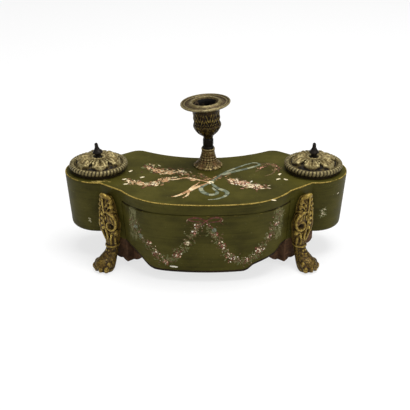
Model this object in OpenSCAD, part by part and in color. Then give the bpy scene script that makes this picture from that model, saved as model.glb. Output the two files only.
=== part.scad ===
// Desk inkstand: a painted wooden case with a bow-fronted drawer, a round ink well at
// each end, four cast lion's-paw legs and a candle holder on the top.
// Millimetres. +Z is up, +X is to the right and the drawer faces -Y. The origin is on
// the floor, under the middle of the whole object.

/* [Case] */
// Height of the top face above the floor
top_z = 79; // [76:0.5:84]
// Height of the case's underside above the floor
bottom_z = 28; // [26:0.5:30]
// Thickness of the top board
board_t = 10; // [8:0.5:12]
// Thickness of the bottom board
floor_t = 5; // [4:0.5:6]
// Thickness of the curved walls
wall_t = 5; // [4:0.5:5.5]
// Lean of every wall from upright, in degrees
draft = 4.5; // [3:0.5:5]
// Distance from the line of the wells to the middle of the whole object
well_line_y = 10.8; // [0:0.1:15]

/* [Plan] */
// Distance from the middle to each well's centre
well_x = 99; // [98:0.5:100]
// Radius of each round end
end_r = 31; // [30:0.5:32]
// Reach of the bow in front of the wells' line
bow_reach = 77.5; // [76:0.5:79]
// Radius of the bow's middle
bow_r = 200; // [190:5:210]
// Radius of the bow's two sides
bow_side_r = 60; // [58:0.5:61]
// Offset of the side radius's centre from the middle
bow_side_x = 24.2; // [23:0.2:25]
// Turn of the front facets from facing forward, in degrees
facet_turn = 38.8; // [38:0.2:40]
// Distance from the frame's middle to the front facets
facet_reach = 83.8; // [83:0.2:84.6]
// Turn of the back facets from facing backward, in degrees
back_turn = 37.9; // [37:0.2:39]
// Distance from the frame's middle to the back facets
back_reach = 77.3; // [76.5:0.2:78]
// Radius of the hollow back
back_r = 110; // [105:1:115]
// Distance of the hollow back's middle from the wells' line
back_mid = 26.4; // [25:0.2:28]
// Radius of the rounded shoulders beside the hollow back
hump_r = 12; // [11:0.5:13]

/* [Drawer] */
// Clearance round the drawer front
drawer_gap = 0.6; // [0.4:0.1:1]
// Depth of the drawer front's inner face behind the top edge
front_in = 12; // [11:0.5:13]
// Height of the apron's lowest edge
apron_low = 10; // [8:0.5:12]
// Half the outer width of the drawer's box
box_half = 62.5; // [60:0.5:63]
// Thickness of the drawer's boards
box_t = 4; // [3:0.5:5]

/* [Wells] */
// Outer radius of the glass liners
glass_r = 19.5; // [18:0.5:19.5]
// Inner radius of the glass liners
glass_bore_r = 17; // [15:0.5:17.5]
// Radius to the middle of the collars' round bead
bead_ring_r = 24.4; // [24.2:0.1:24.6]
// Radius of the bead itself
bead_r = 2.2; // [2:0.1:2.3]
// Outer radius of the lids
lid_r = 21.3; // [21:0.1:21.4]
// Leaves round each lid
lid_leaves = 8; // [6:1:10]
// Radius of the hinge pins
pin_r = 0.7; // [0.6:0.05:0.8]
// Lean of the left finial away from the middle, in degrees
finial_lean = 7; // [0:1:8]

/* [Candle holder] */
// Offset of the holder to the right
candle_x = 2; // [0:0.5:4]
// Offset of the holder behind the wells' line
candle_y = 8; // [6:0.5:9]
// Height where the stem ends and the cup begins
cup_z = 108; // [106:0.5:110]
// Lean of the bent cup to the left, in degrees
cup_lean = 4.5; // [0:0.5:6]
// Radius of the candle socket
socket_r = 10; // [9.5:0.1:10.3]
// Radius of the drip pan
pan_r = 22.9; // [21:0.1:24]

/* [Legs] */
// Points round each leg's section
leg_sides = 28; // [20:4:32]
// Rings along each leg
leg_rings = 26; // [20:1:30]

/* [Hidden] */
$fn = 96;

// Colours of the finishes
paint = [0.27, 0.26, 0.14];
paint_dark = [0.22, 0.20, 0.10];
bare_wood = [0.45, 0.33, 0.22];
brown_wood = [0.25, 0.17, 0.13];
gilt = [0.50, 0.42, 0.20];
pale_gilt = [0.58, 0.52, 0.34];
dark_bronze = [0.12, 0.11, 0.09];
glass = [0.70, 0.80, 0.78, 0.5];

// Heights inside the case
wall_low_z = bottom_z + floor_t;
wall_high_z = top_z - board_t;
edge_round = 0.5;

// Directions and centres of the plan, measured from the wells' line
facet_n = [sin(facet_turn), -cos(facet_turn)];
back_n = [sin(back_turn), cos(back_turn)];
well_c = [well_x, 0];
bow_c = [0, bow_r - bow_reach];
bow_side_c = [bow_side_x, bow_c[1] - sqrt(pow(bow_r - bow_side_r, 2) - pow(bow_side_x, 2))];
bow_angle = asin(bow_side_x / (bow_r - bow_side_r));
back_c = [0, back_mid + back_r];
hump_c = meet(back_c, back_r + hump_r, back_n, back_reach - hump_r, -1);

function unit(a) = [cos(a), sin(a)];
function angle_to(c, p) = atan2(p[1] - c[1], p[0] - c[0]);
function arc(c, r, a0, a1, n, first = 0) = [for (k = [first:n]) c + r * unit(a0 + (a1 - a0) * k / n)];

// The point where the circle (c, r) crosses the line with unit normal n at distance reach
function meet(c, r, n, reach, side) =
    let (d = reach - n * c, h = sqrt(r * r - d * d))
    c + d * n + side * h * [-n[1], n[0]];

// How far the leaning walls have come in at height z
function inset(z) = (top_z - z) * tan(draft);

// Corners of the plan at inset i: bow to facet, facet to round end, round end to back facet
function corner(i) = meet(bow_side_c, bow_side_r - i, facet_n, facet_reach - i, 1);
function notch(i) = meet(well_c, end_r - i, facet_n, facet_reach - i, -1);
function back_notch(i) = meet(well_c, end_r - i, back_n, back_reach - i, 1);

// The bow's right half at inset i, from the middle to the facet's corner
function bow_half(i, n_mid, n_side) = concat(
    arc(bow_c, bow_r - i, 270, 270 + bow_angle, n_mid),
    arc(bow_side_c, bow_side_r - i, 270 + bow_angle, 360 + angle_to(bow_side_c, corner(i)), n_side, 1));

// A line that starts in the middle, joined to its mirror image
function both_sides(half) = concat([for (k = [len(half) - 1:-1:1]) [-half[k][0], half[k][1]]], half);

// The whole bow at inset i, from the left corner to the right
function bow_line(i, n_mid, n_side) = both_sides(bow_half(i, n_mid, n_side));

function end_arc(i, wall) =
    arc(well_c, end_r - i - wall, angle_to(well_c, notch(i)), angle_to(well_c, back_notch(i)), 26);

// The back's right half at inset i, from the facet's end to the middle
function back_half(i) =
    let (a = angle_to(hump_c, back_c))
    concat(arc(hump_c, hump_r - i, 90 - back_turn, a, 5), arc(back_c, back_r + i, a - 180, -90, 8, 1));

function back_line(i) =
    let (half = back_half(i), n = len(half))
    concat(half, [for (k = [n - 2:-1:0]) [-half[k][0], half[k][1]]]);

// The whole plan at inset i, anticlockwise from the middle of the front
function outline(i) =
    let (half = concat(bow_half(i, 3, 9), end_arc(i, 0), back_half(i)), n = len(half))
    concat(half, [for (k = [n - 2:-1:1]) [-half[k][0], half[k][1]]]);

// A closed solid through rings of equal length, each a height and its points
module loft(rings) {
    n = len(rings[0][1]);
    m = len(rings);
    points = [for (r = rings) for (p = r[1]) [p[0], p[1], r[0]]];
    sides = [for (j = [0:m - 2]) for (k = [0:n - 1])
        let (a = j * n + k, b = j * n + (k + 1) % n)
        each [[a, a + n, b + n], [a, b + n, b]]];
    caps = [[for (k = [0:n - 1]) k], [for (k = [n - 1:-1:0]) (m - 1) * n + k]];
    polyhedron(points, concat(sides, caps));
}

// A closed ring turned from a profile of [radius, height, swell of the radius, swell of
// the height], where the swells follow the given number of lobes round the axis
module lobed_ring(profile, lobes, steps) {
    m = len(profile);
    points = [for (k = [0:steps - 1]) for (p = profile)
        let (a = 360 * k / steps, s = 2 * abs(cos(lobes * a / 2)) - 1, r = p[0] + p[2] * s)
        [r * cos(a), r * sin(a), p[1] + p[3] * s]];
    faces = [for (k = [0:steps - 1]) for (j = [0:m - 1])
        let (a = k * m + j, b = k * m + (j + 1) % m, c = ((k + 1) % steps) * m + (j + 1) % m,
            d = ((k + 1) % steps) * m + j)
        each [[a, b, c], [a, c, d]]];
    polyhedron(points, faces);
}

// Places a piece drawn from the wells' line in the object's frame
module framed() {
    translate([0, well_line_y, 0]) children();
}

// Draws a right-hand piece on the chosen side
module on_side(side) {
    framed() mirror([side < 0 ? 1 : 0, 0, 0]) children();
}

// A wall with straight faces through the given plan at its low and high insets
module wall(low, high) {
    loft([[wall_low_z, low], [wall_high_z, high]]);
}

// A curved wall between an outer and an inner line at its low edge and at its high edge,
// where each point has its own height; crossed turns the last end's two triangles
module band(low_out, low_in, high_out, high_in, crossed = false) {
    n = len(low_out);
    last = 4 * (n - 1);
    points = [for (k = [0:n - 1]) each [low_out[k], high_out[k], high_in[k], low_in[k]]];
    sides = [for (k = [0:n - 2]) for (j = [0:3])
        let (a = 4 * k + j, b = 4 * k + (j + 1) % 4)
        each [[a, b, b + 4], [a, b + 4, a + 4]]];
    first_end = [[3, 2, 0], [2, 1, 0]];
    last_end = crossed ? [[last, last + 1, last + 3], [last + 1, last + 2, last + 3]]
        : [[last, last + 1, last + 2], [last, last + 2, last + 3]];
    polyhedron(points, concat(sides, first_end, last_end));
}
function at_height(line, z) = [for (p = line) [p[0], p[1], z]];

// The top board: the whole plan, with a hole over each well and one for the candle rod
stem_hole_r = 2.2;
well_hole_r = glass_r + 0.8;
module top_board() {
    color(paint) framed() difference() {
        loft([[wall_high_z, outline(inset(wall_high_z))],
            [top_z - edge_round, outline(inset(top_z - edge_round))], [top_z, outline(edge_round)]]);
        for (side = [-1, 1])
            translate([side * well_x, 0, wall_high_z - 1]) cylinder(h = board_t + 2, r = well_hole_r);
        translate([candle_x, candle_y, wall_high_z - 1]) cylinder(h = board_t + 2, r = stem_hole_r);
    }
}

// The bottom board: the plan less the bow, which the drawer front covers
module bottom_board() {
    function front(i) = both_sides(concat(bow_half(front_in + drawer_gap, 4, 9), [mitre_point(i)],
        [for (k = [0:12]) end_arc(i, 0)[k]]));
    function back(i) = both_sides(concat([for (k = [13:-1:0]) back_half(i)[k]],
        [for (k = [26:-1:13]) end_arc(i, 0)[k]]));
    low = inset(bottom_z);
    high = inset(wall_low_z);
    color(paint_dark) framed() band(at_height(front(low), bottom_z), at_height(back(low), bottom_z),
        at_height(front(high), wall_low_z), at_height(back(high), wall_low_z));
}
// The end of the facet beside the drawer front
function mitre_point(i) = corner(i) + drawer_gap * [-facet_n[1], facet_n[0]];

// The round end's bent wall
module end_wall(side) {
    low = inset(wall_low_z);
    high = inset(wall_high_z);
    color(paint) on_side(side) band(
        at_height(end_arc(low, 0), wall_low_z), at_height(end_arc(low, wall_t), wall_low_z),
        at_height(end_arc(high, 0), wall_high_z), at_height(end_arc(high, wall_t), wall_high_z),
        crossed = true);
}

// The post behind a front facet, mitred to the drawer front
module front_post(side) {
    function inner(i) = well_c + (end_r - wall_t - i) * unit(angle_to(well_c, notch(i)));
    function plan(i) = [mitre_point(i), notch(i), inner(i), [84, -22.5], [partition_x, -33],
        mitre_point(front_in)];
    color(paint) on_side(side) wall(plan(inset(wall_low_z)), plan(inset(wall_high_z)));
}

// The post behind a back facet
module back_post(side) {
    function inner(i) = well_c + (end_r - wall_t - i) * unit(angle_to(well_c, back_notch(i)));
    function shoulder(i) = hump_c + (hump_r - i) * unit(90 - back_turn);
    function plan(i) = [back_notch(i), shoulder(i), shoulder(i + wall_t), [72, 26], [84, 17.5], inner(i)];
    color(paint) on_side(side) wall(plan(inset(wall_low_z)), plan(inset(wall_high_z)));
}

// The hollow back wall with its two shoulders
module back_wall() {
    low = inset(wall_low_z);
    high = inset(wall_high_z);
    color(paint) framed() band(
        at_height(back_line(low), wall_low_z), at_height(back_line(low + wall_t), wall_low_z),
        at_height(back_line(high), wall_high_z), at_height(back_line(high + wall_t), wall_high_z));
}

// The board between a well and the drawer
partition_x = 66.3;
partition_t = 4;
module partition(side) {
    color(bare_wood) on_side(side) translate([partition_x, -30, wall_low_z])
        cube([partition_t, 56, wall_high_z - wall_low_z]);
}

// The strip that guides the drawer's side
module drawer_guide(side) {
    color(bare_wood) on_side(side) translate([box_half + 0.3, -30, wall_low_z])
        cube([partition_x - box_half - 0.3, 58, 6]);
}

// The shaped bracket under a corner, behind the leg: two lobes towards the drawer and a
// small wing towards the well, cut off at the given places along the facet
module bracket(inner_x, outer_x) {
    color(brown_wood) intersection() {
        translate([inner_x, 0, 4]) cube([outer_x - inner_x, 30, bottom_z - 4]);
        linear_extrude(bottom_z)
            polygon([[22, 5.5], [22, 20], [-28, 20], [-28, 12.7], [-14.5, 12.7], [-13.2, 5.5]]);
        rotate([90, 0, 0]) translate([0, 0, -30]) linear_extrude(30) union() {
            translate([-28, 20]) square([50, bottom_z - 20]);
            translate([-14.2, 15.5]) circle(r = 10.5);
            translate([-3, 15]) circle(r = 8.5);
            translate([15.9, 21.5]) circle(r = 6.8);
        }
    }
}

// Puts a piece on a facet: its own -Y faces out of the case and z stays the height
facet_mid = (corner(0) + notch(0)) / 2;
shoulder_end = hump_c + hump_r * unit(90 - back_turn);
back_facet_mid = (back_notch(0) + shoulder_end) / 2;
module on_front_facet(side) {
    on_side(side) translate(facet_mid) rotate([0, 0, facet_turn]) children();
}
module on_back_facet(side) {
    on_side(side) translate(back_facet_mid) rotate([0, 0, 180 - back_turn]) mirror([1, 0, 0]) children();
}

// Key sections down a leg: height, reach of the front and the back out of the facet's
// top edge, sideways shift, half width, and 1 where the back lies on the facet
leg_keys = [
    [0, 20.5, 5.5, 0, 8, 0],
    [2.5, 22.8, 3.5, 0, 9.4, 0],
    [7, 22.3, 1.2, 0, 9.3, 0],
    [11, 18, -0.8, 0, 8.2, 0],
    [14.5, 11.5, -2.6, 0, 6.6, 0],
    [18, 7.4, -4.2, 0, 5.6, 0],
    [23, 6.2, -5, 0.3, 5.7, 0],
    [27.9, 5.6, -4.5, 0.8, 6.3, 0.9],
    [33, 5.6, -4, 1.3, 6.7, 1],
    [41, 7.4, -3, 1.9, 8.6, 1],
    [46, 6.8, -2.6, 2.4, 8.2, 1],
    [53, 5, -2, 3, 5.6, 1],
    [60, 7.2, -1.5, 3.6, 6.6, 1],
    [65, 6.2, -1, 4.1, 5.6, 1],
    [68, 3.6, -0.8, 4.5, 3.2, 1],
    [70, 0.6, -0.7, 4.7, 1, 1]];
leg_top = leg_keys[len(leg_keys) - 1][0];

// The value in a column of the leg's key sections at height z, on a smooth curve
function leg_key(z, col) =
    let (n = len(leg_keys), j = max([for (k = [0:n - 2]) if (leg_keys[k][0] <= z) k]),
        p0 = leg_keys[max(j - 1, 0)], p1 = leg_keys[j], p2 = leg_keys[j + 1],
        p3 = leg_keys[min(j + 2, n - 1)], h = p2[0] - p1[0], t = (z - p1[0]) / h,
        m1 = h * (p2[col] - p0[col]) / (p2[0] - p0[0]),
        m2 = h * (p3[col] - p1[col]) / (p3[0] - p1[0]))
    (2 * t * t * t - 3 * t * t + 1) * p1[col] + (t * t * t - 2 * t * t + t) * m1
        + (3 * t * t - 2 * t * t * t) * p2[col] + (t * t * t - t * t) * m2;

// Depth of the relief on a leg's front: toes low down, leaf lobes above
function leg_relief(z, a) =
    z < 12 ? 0.07 * sin(min(z, 8) * 90 / 8) * cos(8 * a)
    : z < 30 ? 0.03 * cos(6 * a) : 0.10 * cos(6 * a);

function leg_ring(z) =
    let (front = leg_key(z, 1), back = leg_key(z, 2), shift = leg_key(z, 3), half = leg_key(z, 4),
        flat = z >= bottom_z ? 1 : leg_key(z, 5), seat = -inset(z), mid = (front + back) / 2)
    [for (k = [0:leg_sides - 1])
        let (a = 360 * (k + 0.5) / leg_sides, s = sin(a),
            round_u = mid - (front - back) / 2 * s * (s < 0 ? 1 + leg_relief(z, a) : 1),
            flat_u = s > 0 ? seat : seat - (front - seat) * sign(s) * pow(-s, 0.75) * (1 + leg_relief(z, a)))
        [shift + half * cos(a) * (s < 0 ? 1 + leg_relief(z, a) / 2 : 1),
            -(flat * flat_u + (1 - flat) * round_u)]];

// A cast leg: lion's paw, ankle, and an acanthus knee that lies on the facet
module leg() {
    heights = concat([for (k = [0:leg_rings - 2]) leg_top * k / (leg_rings - 1)], [leg_top]);
    color(gilt) loft([for (z = heights) [z, leg_ring(z)]]);
}

// Lower edge of the drawer front across its width, cut to a shaped apron
apron_edge = [[-80, bottom_z], [-72, bottom_z - 1], [-60, 18.6], [-50, apron_low + 0.2], [-44, apron_low],
    [34, apron_low], [45, 16.5], [63, 20.3], [69, bottom_z - 1], [80, bottom_z]];

// The drawer's bow front: its outer face leans with the case, its inner face is upright
module drawer_front() {
    n_mid = 8;
    n_side = 12;
    z1 = wall_high_z - drawer_gap;
    top = bow_line(inset(z1), n_mid, n_side);
    inner = bow_line(front_in, n_mid, n_side);
    n = len(top);
    low = [for (p = top) lookup(p[0], apron_edge)];
    bottom = [for (k = [0:n - 1]) bow_line(inset(low[k]), n_mid, n_side)[k]];
    color(paint_dark) framed() band(
        [for (k = [0:n - 1]) [bottom[k][0], bottom[k][1], low[k]]],
        [for (k = [0:n - 1]) [inner[k][0], inner[k][1], low[k]]],
        at_height(top, z1), at_height(inner, z1));
}

// The drawer's box
box_low = wall_low_z + 0.3;
box_high = wall_high_z - 5;
box_back_y = 13;
bottom_rise = 2;
function front_y(x) = bow_side_c[1] - sqrt(pow(bow_side_r - front_in, 2) - pow(x - bow_side_x, 2));
module drawer_side(side) {
    x0 = box_half - box_t;
    color(bare_wood) on_side(side) translate([0, 0, box_low]) linear_extrude(box_high - box_low)
        polygon([[x0, front_y(x0)], [box_half, front_y(box_half)], [box_half, box_back_y], [x0, box_back_y]]);
}
module drawer_back() {
    x0 = box_half - box_t;
    color(bare_wood) framed() translate([-x0, box_back_y - box_t, box_low])
        cube([2 * x0, box_t, box_high - box_low]);
}
module drawer_bottom() {
    x0 = box_half - box_t;
    bow = [for (p = bow_line(front_in, 8, 12)) if (abs(p[0]) < x0) p];
    color(bare_wood) framed() translate([0, 0, box_low + bottom_rise]) linear_extrude(box_t - 1)
        polygon(concat([[-x0, front_y(x0)]], bow,
            [[x0, front_y(x0)], [x0, box_back_y - box_t], [-x0, box_back_y - box_t]]));
}

// The candle holder: leafy foot, stem, bent cup, nozzle with drip pan, rod and nut
foot_top_z = 97;
rod_r = 2;
module at_candle() {
    framed() translate([candle_x, candle_y, 0]) children();
}
module at_cup() {
    at_candle() translate([0, 0, cup_z]) rotate([0, -cup_lean, 0]) children();
}
module candle_foot() {
    color(gilt) at_candle() lobed_ring([[stem_hole_r, top_z, 0, 0], [12.6, top_z, 0.4, 0],
        [12.8, top_z + 1.3, 0.5, 0], [10.6, top_z + 2.8, 0.5, 0], [8.4, top_z + 5.4, 0.4, 0],
        [7.2, top_z + 9, 0.2, 0], [6, foot_top_z - 1.8, 0, 0], [6.6, foot_top_z - 1.2, 0, 0],
        [6.6, foot_top_z, 0, 0], [stem_hole_r, foot_top_z, 0, 0]], 8, 40);
}
module candle_stem() {
    h = cup_z - foot_top_z;
    color(dark_bronze) difference() {
        at_candle() translate([0, 0, foot_top_z]) rotate_extrude()
            polygon([[stem_hole_r, 0], [5.4, 0], [5.4, 1.2], [4.6, 2.2], [4.9, 4], [4.9, h - 2.4],
                [4.4, h - 1.2], [4.8, h + 1], [stem_hole_r, h + 1]]);
        at_cup() translate([-10, -10, 0]) cube([20, 20, 10]);
    }
}
module candle_cup() {
    color(dark_bronze) at_cup() lobed_ring([[1, 0, 0, 0], [4.4, 0, 0, 0], [4.9, 1.2, 0, 0], [8, 3.6, 0.2, 0],
        [11.3, 7.4, 0.4, 0], [12.8, 10.6, 0.5, 0], [12.8, 12.4, 0.5, 0], [11.9, 14.2, 0.3, 0],
        [11.9, 18, 0.3, 0], [12, 24, 0.3, 0], [12.8, 29, 0.2, 0],
        [socket_r + 0.8, 29, 0, 0], [socket_r + 0.8, 8, 0, 0], [1, 7, 0, 0]], 12, 48);
}
nozzle_low = 8.6;
nozzle_mouth = 30.6;
module candle_nozzle() {
    color(pale_gilt) at_cup() rotate_extrude()
        polygon([[socket_r, nozzle_low], [socket_r + 0.7, nozzle_low], [socket_r + 0.7, 29.05], [13.4, 29.05],
            [15.5, 30], [pan_r - 2.6, 31.2], [pan_r - 0.7, 31.9], [pan_r, 32.9], [pan_r - 0.4, 34],
            [pan_r - 1.5, 34], [pan_r - 2.8, 33.2], [pan_r - 5.4, 32.9], [15, 33.6], [13.4, 34.6],
            [12.2, 34.5], [11.6, 33.6], [socket_r, nozzle_mouth]]);
}
module candle_rod() {
    color(dark_bronze) at_candle() translate([0, 0, wall_high_z - 4.5])
        cylinder(h = cup_z - wall_high_z + 2, r = rod_r);
}
module candle_nut() {
    color(dark_bronze) at_candle() translate([0, 0, wall_high_z - 4]) difference() {
        cylinder(h = 4, r = 5, $fn = 6);
        translate([0, 0, -1]) cylinder(h = 6, r = rod_r + 0.1);
    }
}

// The ink well's glass liner, standing on the bottom board
glass_base_t = 4;
glass_top_z = top_z + 2.5;
module ink_glass(side) {
    color(glass) on_side(side) translate([well_x, 0, wall_low_z]) difference() {
        cylinder(h = glass_top_z - wall_low_z, r = glass_r);
        translate([0, 0, glass_base_t]) cylinder(h = glass_top_z - wall_low_z, r = glass_bore_r);
    }
}

// The fixed collar round a well, with the two lugs of the lid's hinge at the back
seat_z = top_z + 4;
bead_z = top_z + 5.4;
hinge_y = bead_ring_r;
hinge_z = bead_z + 1.6;
knuckle_r = 1.5;
knuckle_half = 2;
lug_w = 2.6;
swing_gap = 0.4;
module collar(side) {
    color(gilt) on_side(side) translate([well_x, 0, 0]) difference() {
        union() {
            rotate_extrude() polygon([[well_hole_r, top_z], [24.4, top_z], [24.4, top_z + 0.9],
                [23.8, top_z + 1.3], [23.8, bead_z - 1], [lid_r + 1.3, bead_z - 1],
                [lid_r + 1.3, seat_z], [well_hole_r, seat_z]]);
            translate([0, 0, bead_z]) rotate_extrude() translate([bead_ring_r, 0]) circle(r = bead_r, $fn = 32);
            for (s = [-1, 1]) translate([s * (knuckle_half + swing_gap + lug_w / 2), hinge_y, 0]) {
                translate([-lug_w / 2, -1.4, bead_z]) cube([lug_w, 2.8, hinge_z - bead_z]);
                translate([-lug_w / 2, 0, hinge_z]) rotate([0, 90, 0]) cylinder(h = lug_w, r = knuckle_r);
            }
        }
        translate([-knuckle_half - swing_gap, hinge_y - 5, hinge_z - knuckle_r - swing_gap])
            cube([2 * (knuckle_half + swing_gap), 8, 4]);
        translate([-8, hinge_y, hinge_z]) rotate([0, 90, 0]) cylinder(h = 16, r = pin_r + 0.05);
    }
}

// The domed lid of radiating leaves: steep at the rim, full over the middle
lid_low = seat_z + 0.1;
dome_h = 7.7;
module lid(side) {
    color(pale_gilt) on_side(side) translate([well_x, 0, lid_low]) lobed_ring([
        [1.5, dome_h - 1.6, 0, 0], [1.5, dome_h, 0, 0], [3.6, dome_h, 0, 0], [7, dome_h + 0.3, 0, 0.4],
        [12, dome_h + 0.1, 0, 0.7], [16.5, dome_h - 1.2, 0, 0.8], [19.6, dome_h - 3.4, 0.2, 0.6],
        [lid_r, dome_h - 5.2, 0.35, 0.2], [lid_r - 0.5, 0, 0.3, 0], [lid_r - 2.2, 0, 0, 0],
        [16, dome_h - 4.3, 0, 0], [9, dome_h - 2.1, 0, 0]], lid_leaves, 48);
}

// The strap brazed to the lid's back, with the hinge's middle knuckle
module lid_strap(side) {
    color(pale_gilt) on_side(side) translate([well_x, hinge_y, hinge_z]) difference() {
        union() {
            translate([-knuckle_half, 0, 0]) rotate([0, 90, 0]) cylinder(h = 2 * knuckle_half, r = knuckle_r);
            translate([-knuckle_half, -5.4, -0.6]) cube([2 * knuckle_half, 5.4, 1.4]);
        }
        translate([-knuckle_half - 1, 0, 0]) rotate([0, 90, 0])
            cylinder(h = 2 * knuckle_half + 2, r = pin_r + 0.05);
    }
}
module hinge_pin(side) {
    half = knuckle_half + swing_gap + lug_w + 0.3;
    color(dark_bronze) on_side(side) translate([well_x - half, hinge_y, hinge_z]) rotate([0, 90, 0])
        cylinder(h = 2 * half, r = pin_r);
}

// The dark turned finial: a pin through the lid, a neck, a bell and a spire. The left one
// is bent outwards above its neck.
module finial(side) {
    lean = side < 0 ? finial_lean : 0;
    color(dark_bronze) on_side(side) translate([well_x, 0, lid_low + dome_h]) union() {
        rotate_extrude()
            polygon([[0, -1.6], [1.4, -1.6], [1.4, 0.02], [3.5, 0.02], [3.5, 0.9], [2.9, 1.4],
                [2.8, 3], [0, 3]]);
        translate([0, 0, 2]) rotate([0, lean, 0]) rotate_extrude()
            polygon([[0, 0], [2.7, 0], [3, 2], [4.6, 2.7], [4.6, 3.5], [2.8, 5.8], [1.8, 8], [1.6, 11],
                [1, 12], [0, 12.2]]);
    }
}

top_board();
bottom_board();
end_wall(-1);  // end_wall_left
end_wall(1);  // end_wall_right
front_post(-1);  // front_post_left
front_post(1);  // front_post_right
back_post(-1);  // back_post_left
back_post(1);  // back_post_right
back_wall();
partition(-1);  // partition_left
partition(1);  // partition_right
drawer_guide(-1);  // drawer_guide_left
drawer_guide(1);  // drawer_guide_right
on_front_facet(-1) bracket(-28, 9);  // bracket_front_left
on_front_facet(1) bracket(-28, 22);  // bracket_front_right
on_back_facet(-1) bracket(-12, 9);  // bracket_back_left
on_back_facet(1) bracket(-12, 9);  // bracket_back_right
on_front_facet(-1) leg();  // leg_front_left
on_front_facet(1) leg();  // leg_front_right
on_back_facet(-1) leg();  // leg_back_left
on_back_facet(1) leg();  // leg_back_right
drawer_front();
drawer_side(-1);  // drawer_side_left
drawer_side(1);  // drawer_side_right
drawer_back();
drawer_bottom();
candle_foot();
candle_stem();
candle_cup();
candle_nozzle();
candle_rod();
candle_nut();
ink_glass(-1);  // ink_glass_left
ink_glass(1);  // ink_glass_right
collar(-1);  // collar_left
collar(1);  // collar_right
lid(-1);  // lid_left
lid(1);  // lid_right
lid_strap(-1);  // lid_strap_left
lid_strap(1);  // lid_strap_right
finial(-1);  // finial_left
finial(1);  // finial_right
hinge_pin(-1);  // hinge_pin_left
hinge_pin(1);  // hinge_pin_right
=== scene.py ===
"""Looks of the desk inkstand: carving, castings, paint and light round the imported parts.

Sizes are millimetres until a mesh is made. Plans and heights repeat the part's named values,
measured from the line of the wells, which lies LINE_Y behind the middle of the object.
"""

from __future__ import annotations

import logging
import math
from dataclasses import dataclass, field
from enum import Enum
from typing import Callable, Iterable, Sequence

import bmesh
import bpy
import numpy as np
from mathutils import Matrix, Vector
from mathutils.geometry import delaunay_2d_cdt


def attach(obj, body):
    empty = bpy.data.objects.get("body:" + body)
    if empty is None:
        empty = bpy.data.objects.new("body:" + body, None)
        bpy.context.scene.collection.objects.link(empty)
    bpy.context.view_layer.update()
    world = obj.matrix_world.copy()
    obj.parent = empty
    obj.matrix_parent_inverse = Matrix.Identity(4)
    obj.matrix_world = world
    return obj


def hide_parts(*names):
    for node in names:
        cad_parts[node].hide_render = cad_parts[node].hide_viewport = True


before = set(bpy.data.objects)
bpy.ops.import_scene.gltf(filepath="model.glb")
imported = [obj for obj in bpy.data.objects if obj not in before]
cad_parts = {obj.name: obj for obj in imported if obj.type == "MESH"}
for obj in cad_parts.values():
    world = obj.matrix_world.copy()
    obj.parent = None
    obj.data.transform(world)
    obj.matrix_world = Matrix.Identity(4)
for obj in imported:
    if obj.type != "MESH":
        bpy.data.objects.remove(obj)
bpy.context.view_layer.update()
LOG = logging.getLogger("inkstand")
MM = 0.001
LINE_Y = 10.8
FULL_TURN = 2 * math.pi
Array = np.ndarray
Colour = tuple[float, float, float, float]
Place = Sequence[float]
Path = Sequence[Place]
Skin = tuple[Array, list]
Spot = tuple[Array, Array]
Material = bpy.types.Material
Node = bpy.types.Node
Object = bpy.types.Object
Socket = bpy.types.NodeSocket
Tree = bpy.types.NodeTree


def paint_colour(code: str) -> Colour:
    """Turns a colour as it looks on a screen into the one a shader takes.

    Args:
        code: Six hexadecimal digits.

    Returns:
        Red, green, blue and alpha in linear light.
    """
    parts = [int(code[k : k + 2], 16) / 255 for k in (0, 2, 4)]
    linear = [p / 12.92 if p <= 0.04045 else ((p + 0.055) / 1.055) ** 2.4 for p in parts]
    return (linear[0], linear[1], linear[2], 1.0)


class Value:
    """A node's output that takes part in expressions."""

    def __init__(self, graph: Graph, socket: Socket) -> None:
        """Keeps the socket and the tree it belongs to."""
        self.graph = graph
        self.socket = socket

    def math(self, operation: str, *others: Value | float, swap: bool = False) -> Value:
        """Adds a Math node.

        Args:
            operation: The node's operation.
            others: The other operands.
            swap: Whether the first other operand comes before this value.

        Returns:
            The node's output.
        """
        operands = [self, *others]
        if swap:
            operands[0], operands[1] = operands[1], operands[0]
        return self.graph.value("ShaderNodeMath", {"operation": operation}, dict(enumerate(operands)))

    def __add__(self, other: Value | float) -> Value:
        """Adds."""
        return self.math("ADD", other)

    def __sub__(self, other: Value | float) -> Value:
        """Subtracts."""
        return self.math("SUBTRACT", other)

    def __rsub__(self, other: float) -> Value:
        """Subtracts this value from a number."""
        return self.math("SUBTRACT", other, swap=True)

    def __mul__(self, other: Value | float) -> Value:
        """Multiplies."""
        return self.math("MULTIPLY", other)

    __radd__ = __add__
    __rmul__ = __mul__

    def above(self, level: float, soft: float) -> Value:
        """A mask that rises from 0 to 1 over the soft width round the level."""
        span = {0: self, 1: level - soft / 2, 2: level + soft / 2, 3: 0.0, 4: 1.0}
        return self.graph.value("ShaderNodeMapRange", {"interpolation_type": "SMOOTHSTEP"}, span)

    def below(self, level: float, soft: float) -> Value:
        """A mask that falls from 1 to 0 over the soft width round the level."""
        return 1 - self.above(level, soft)


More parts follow.
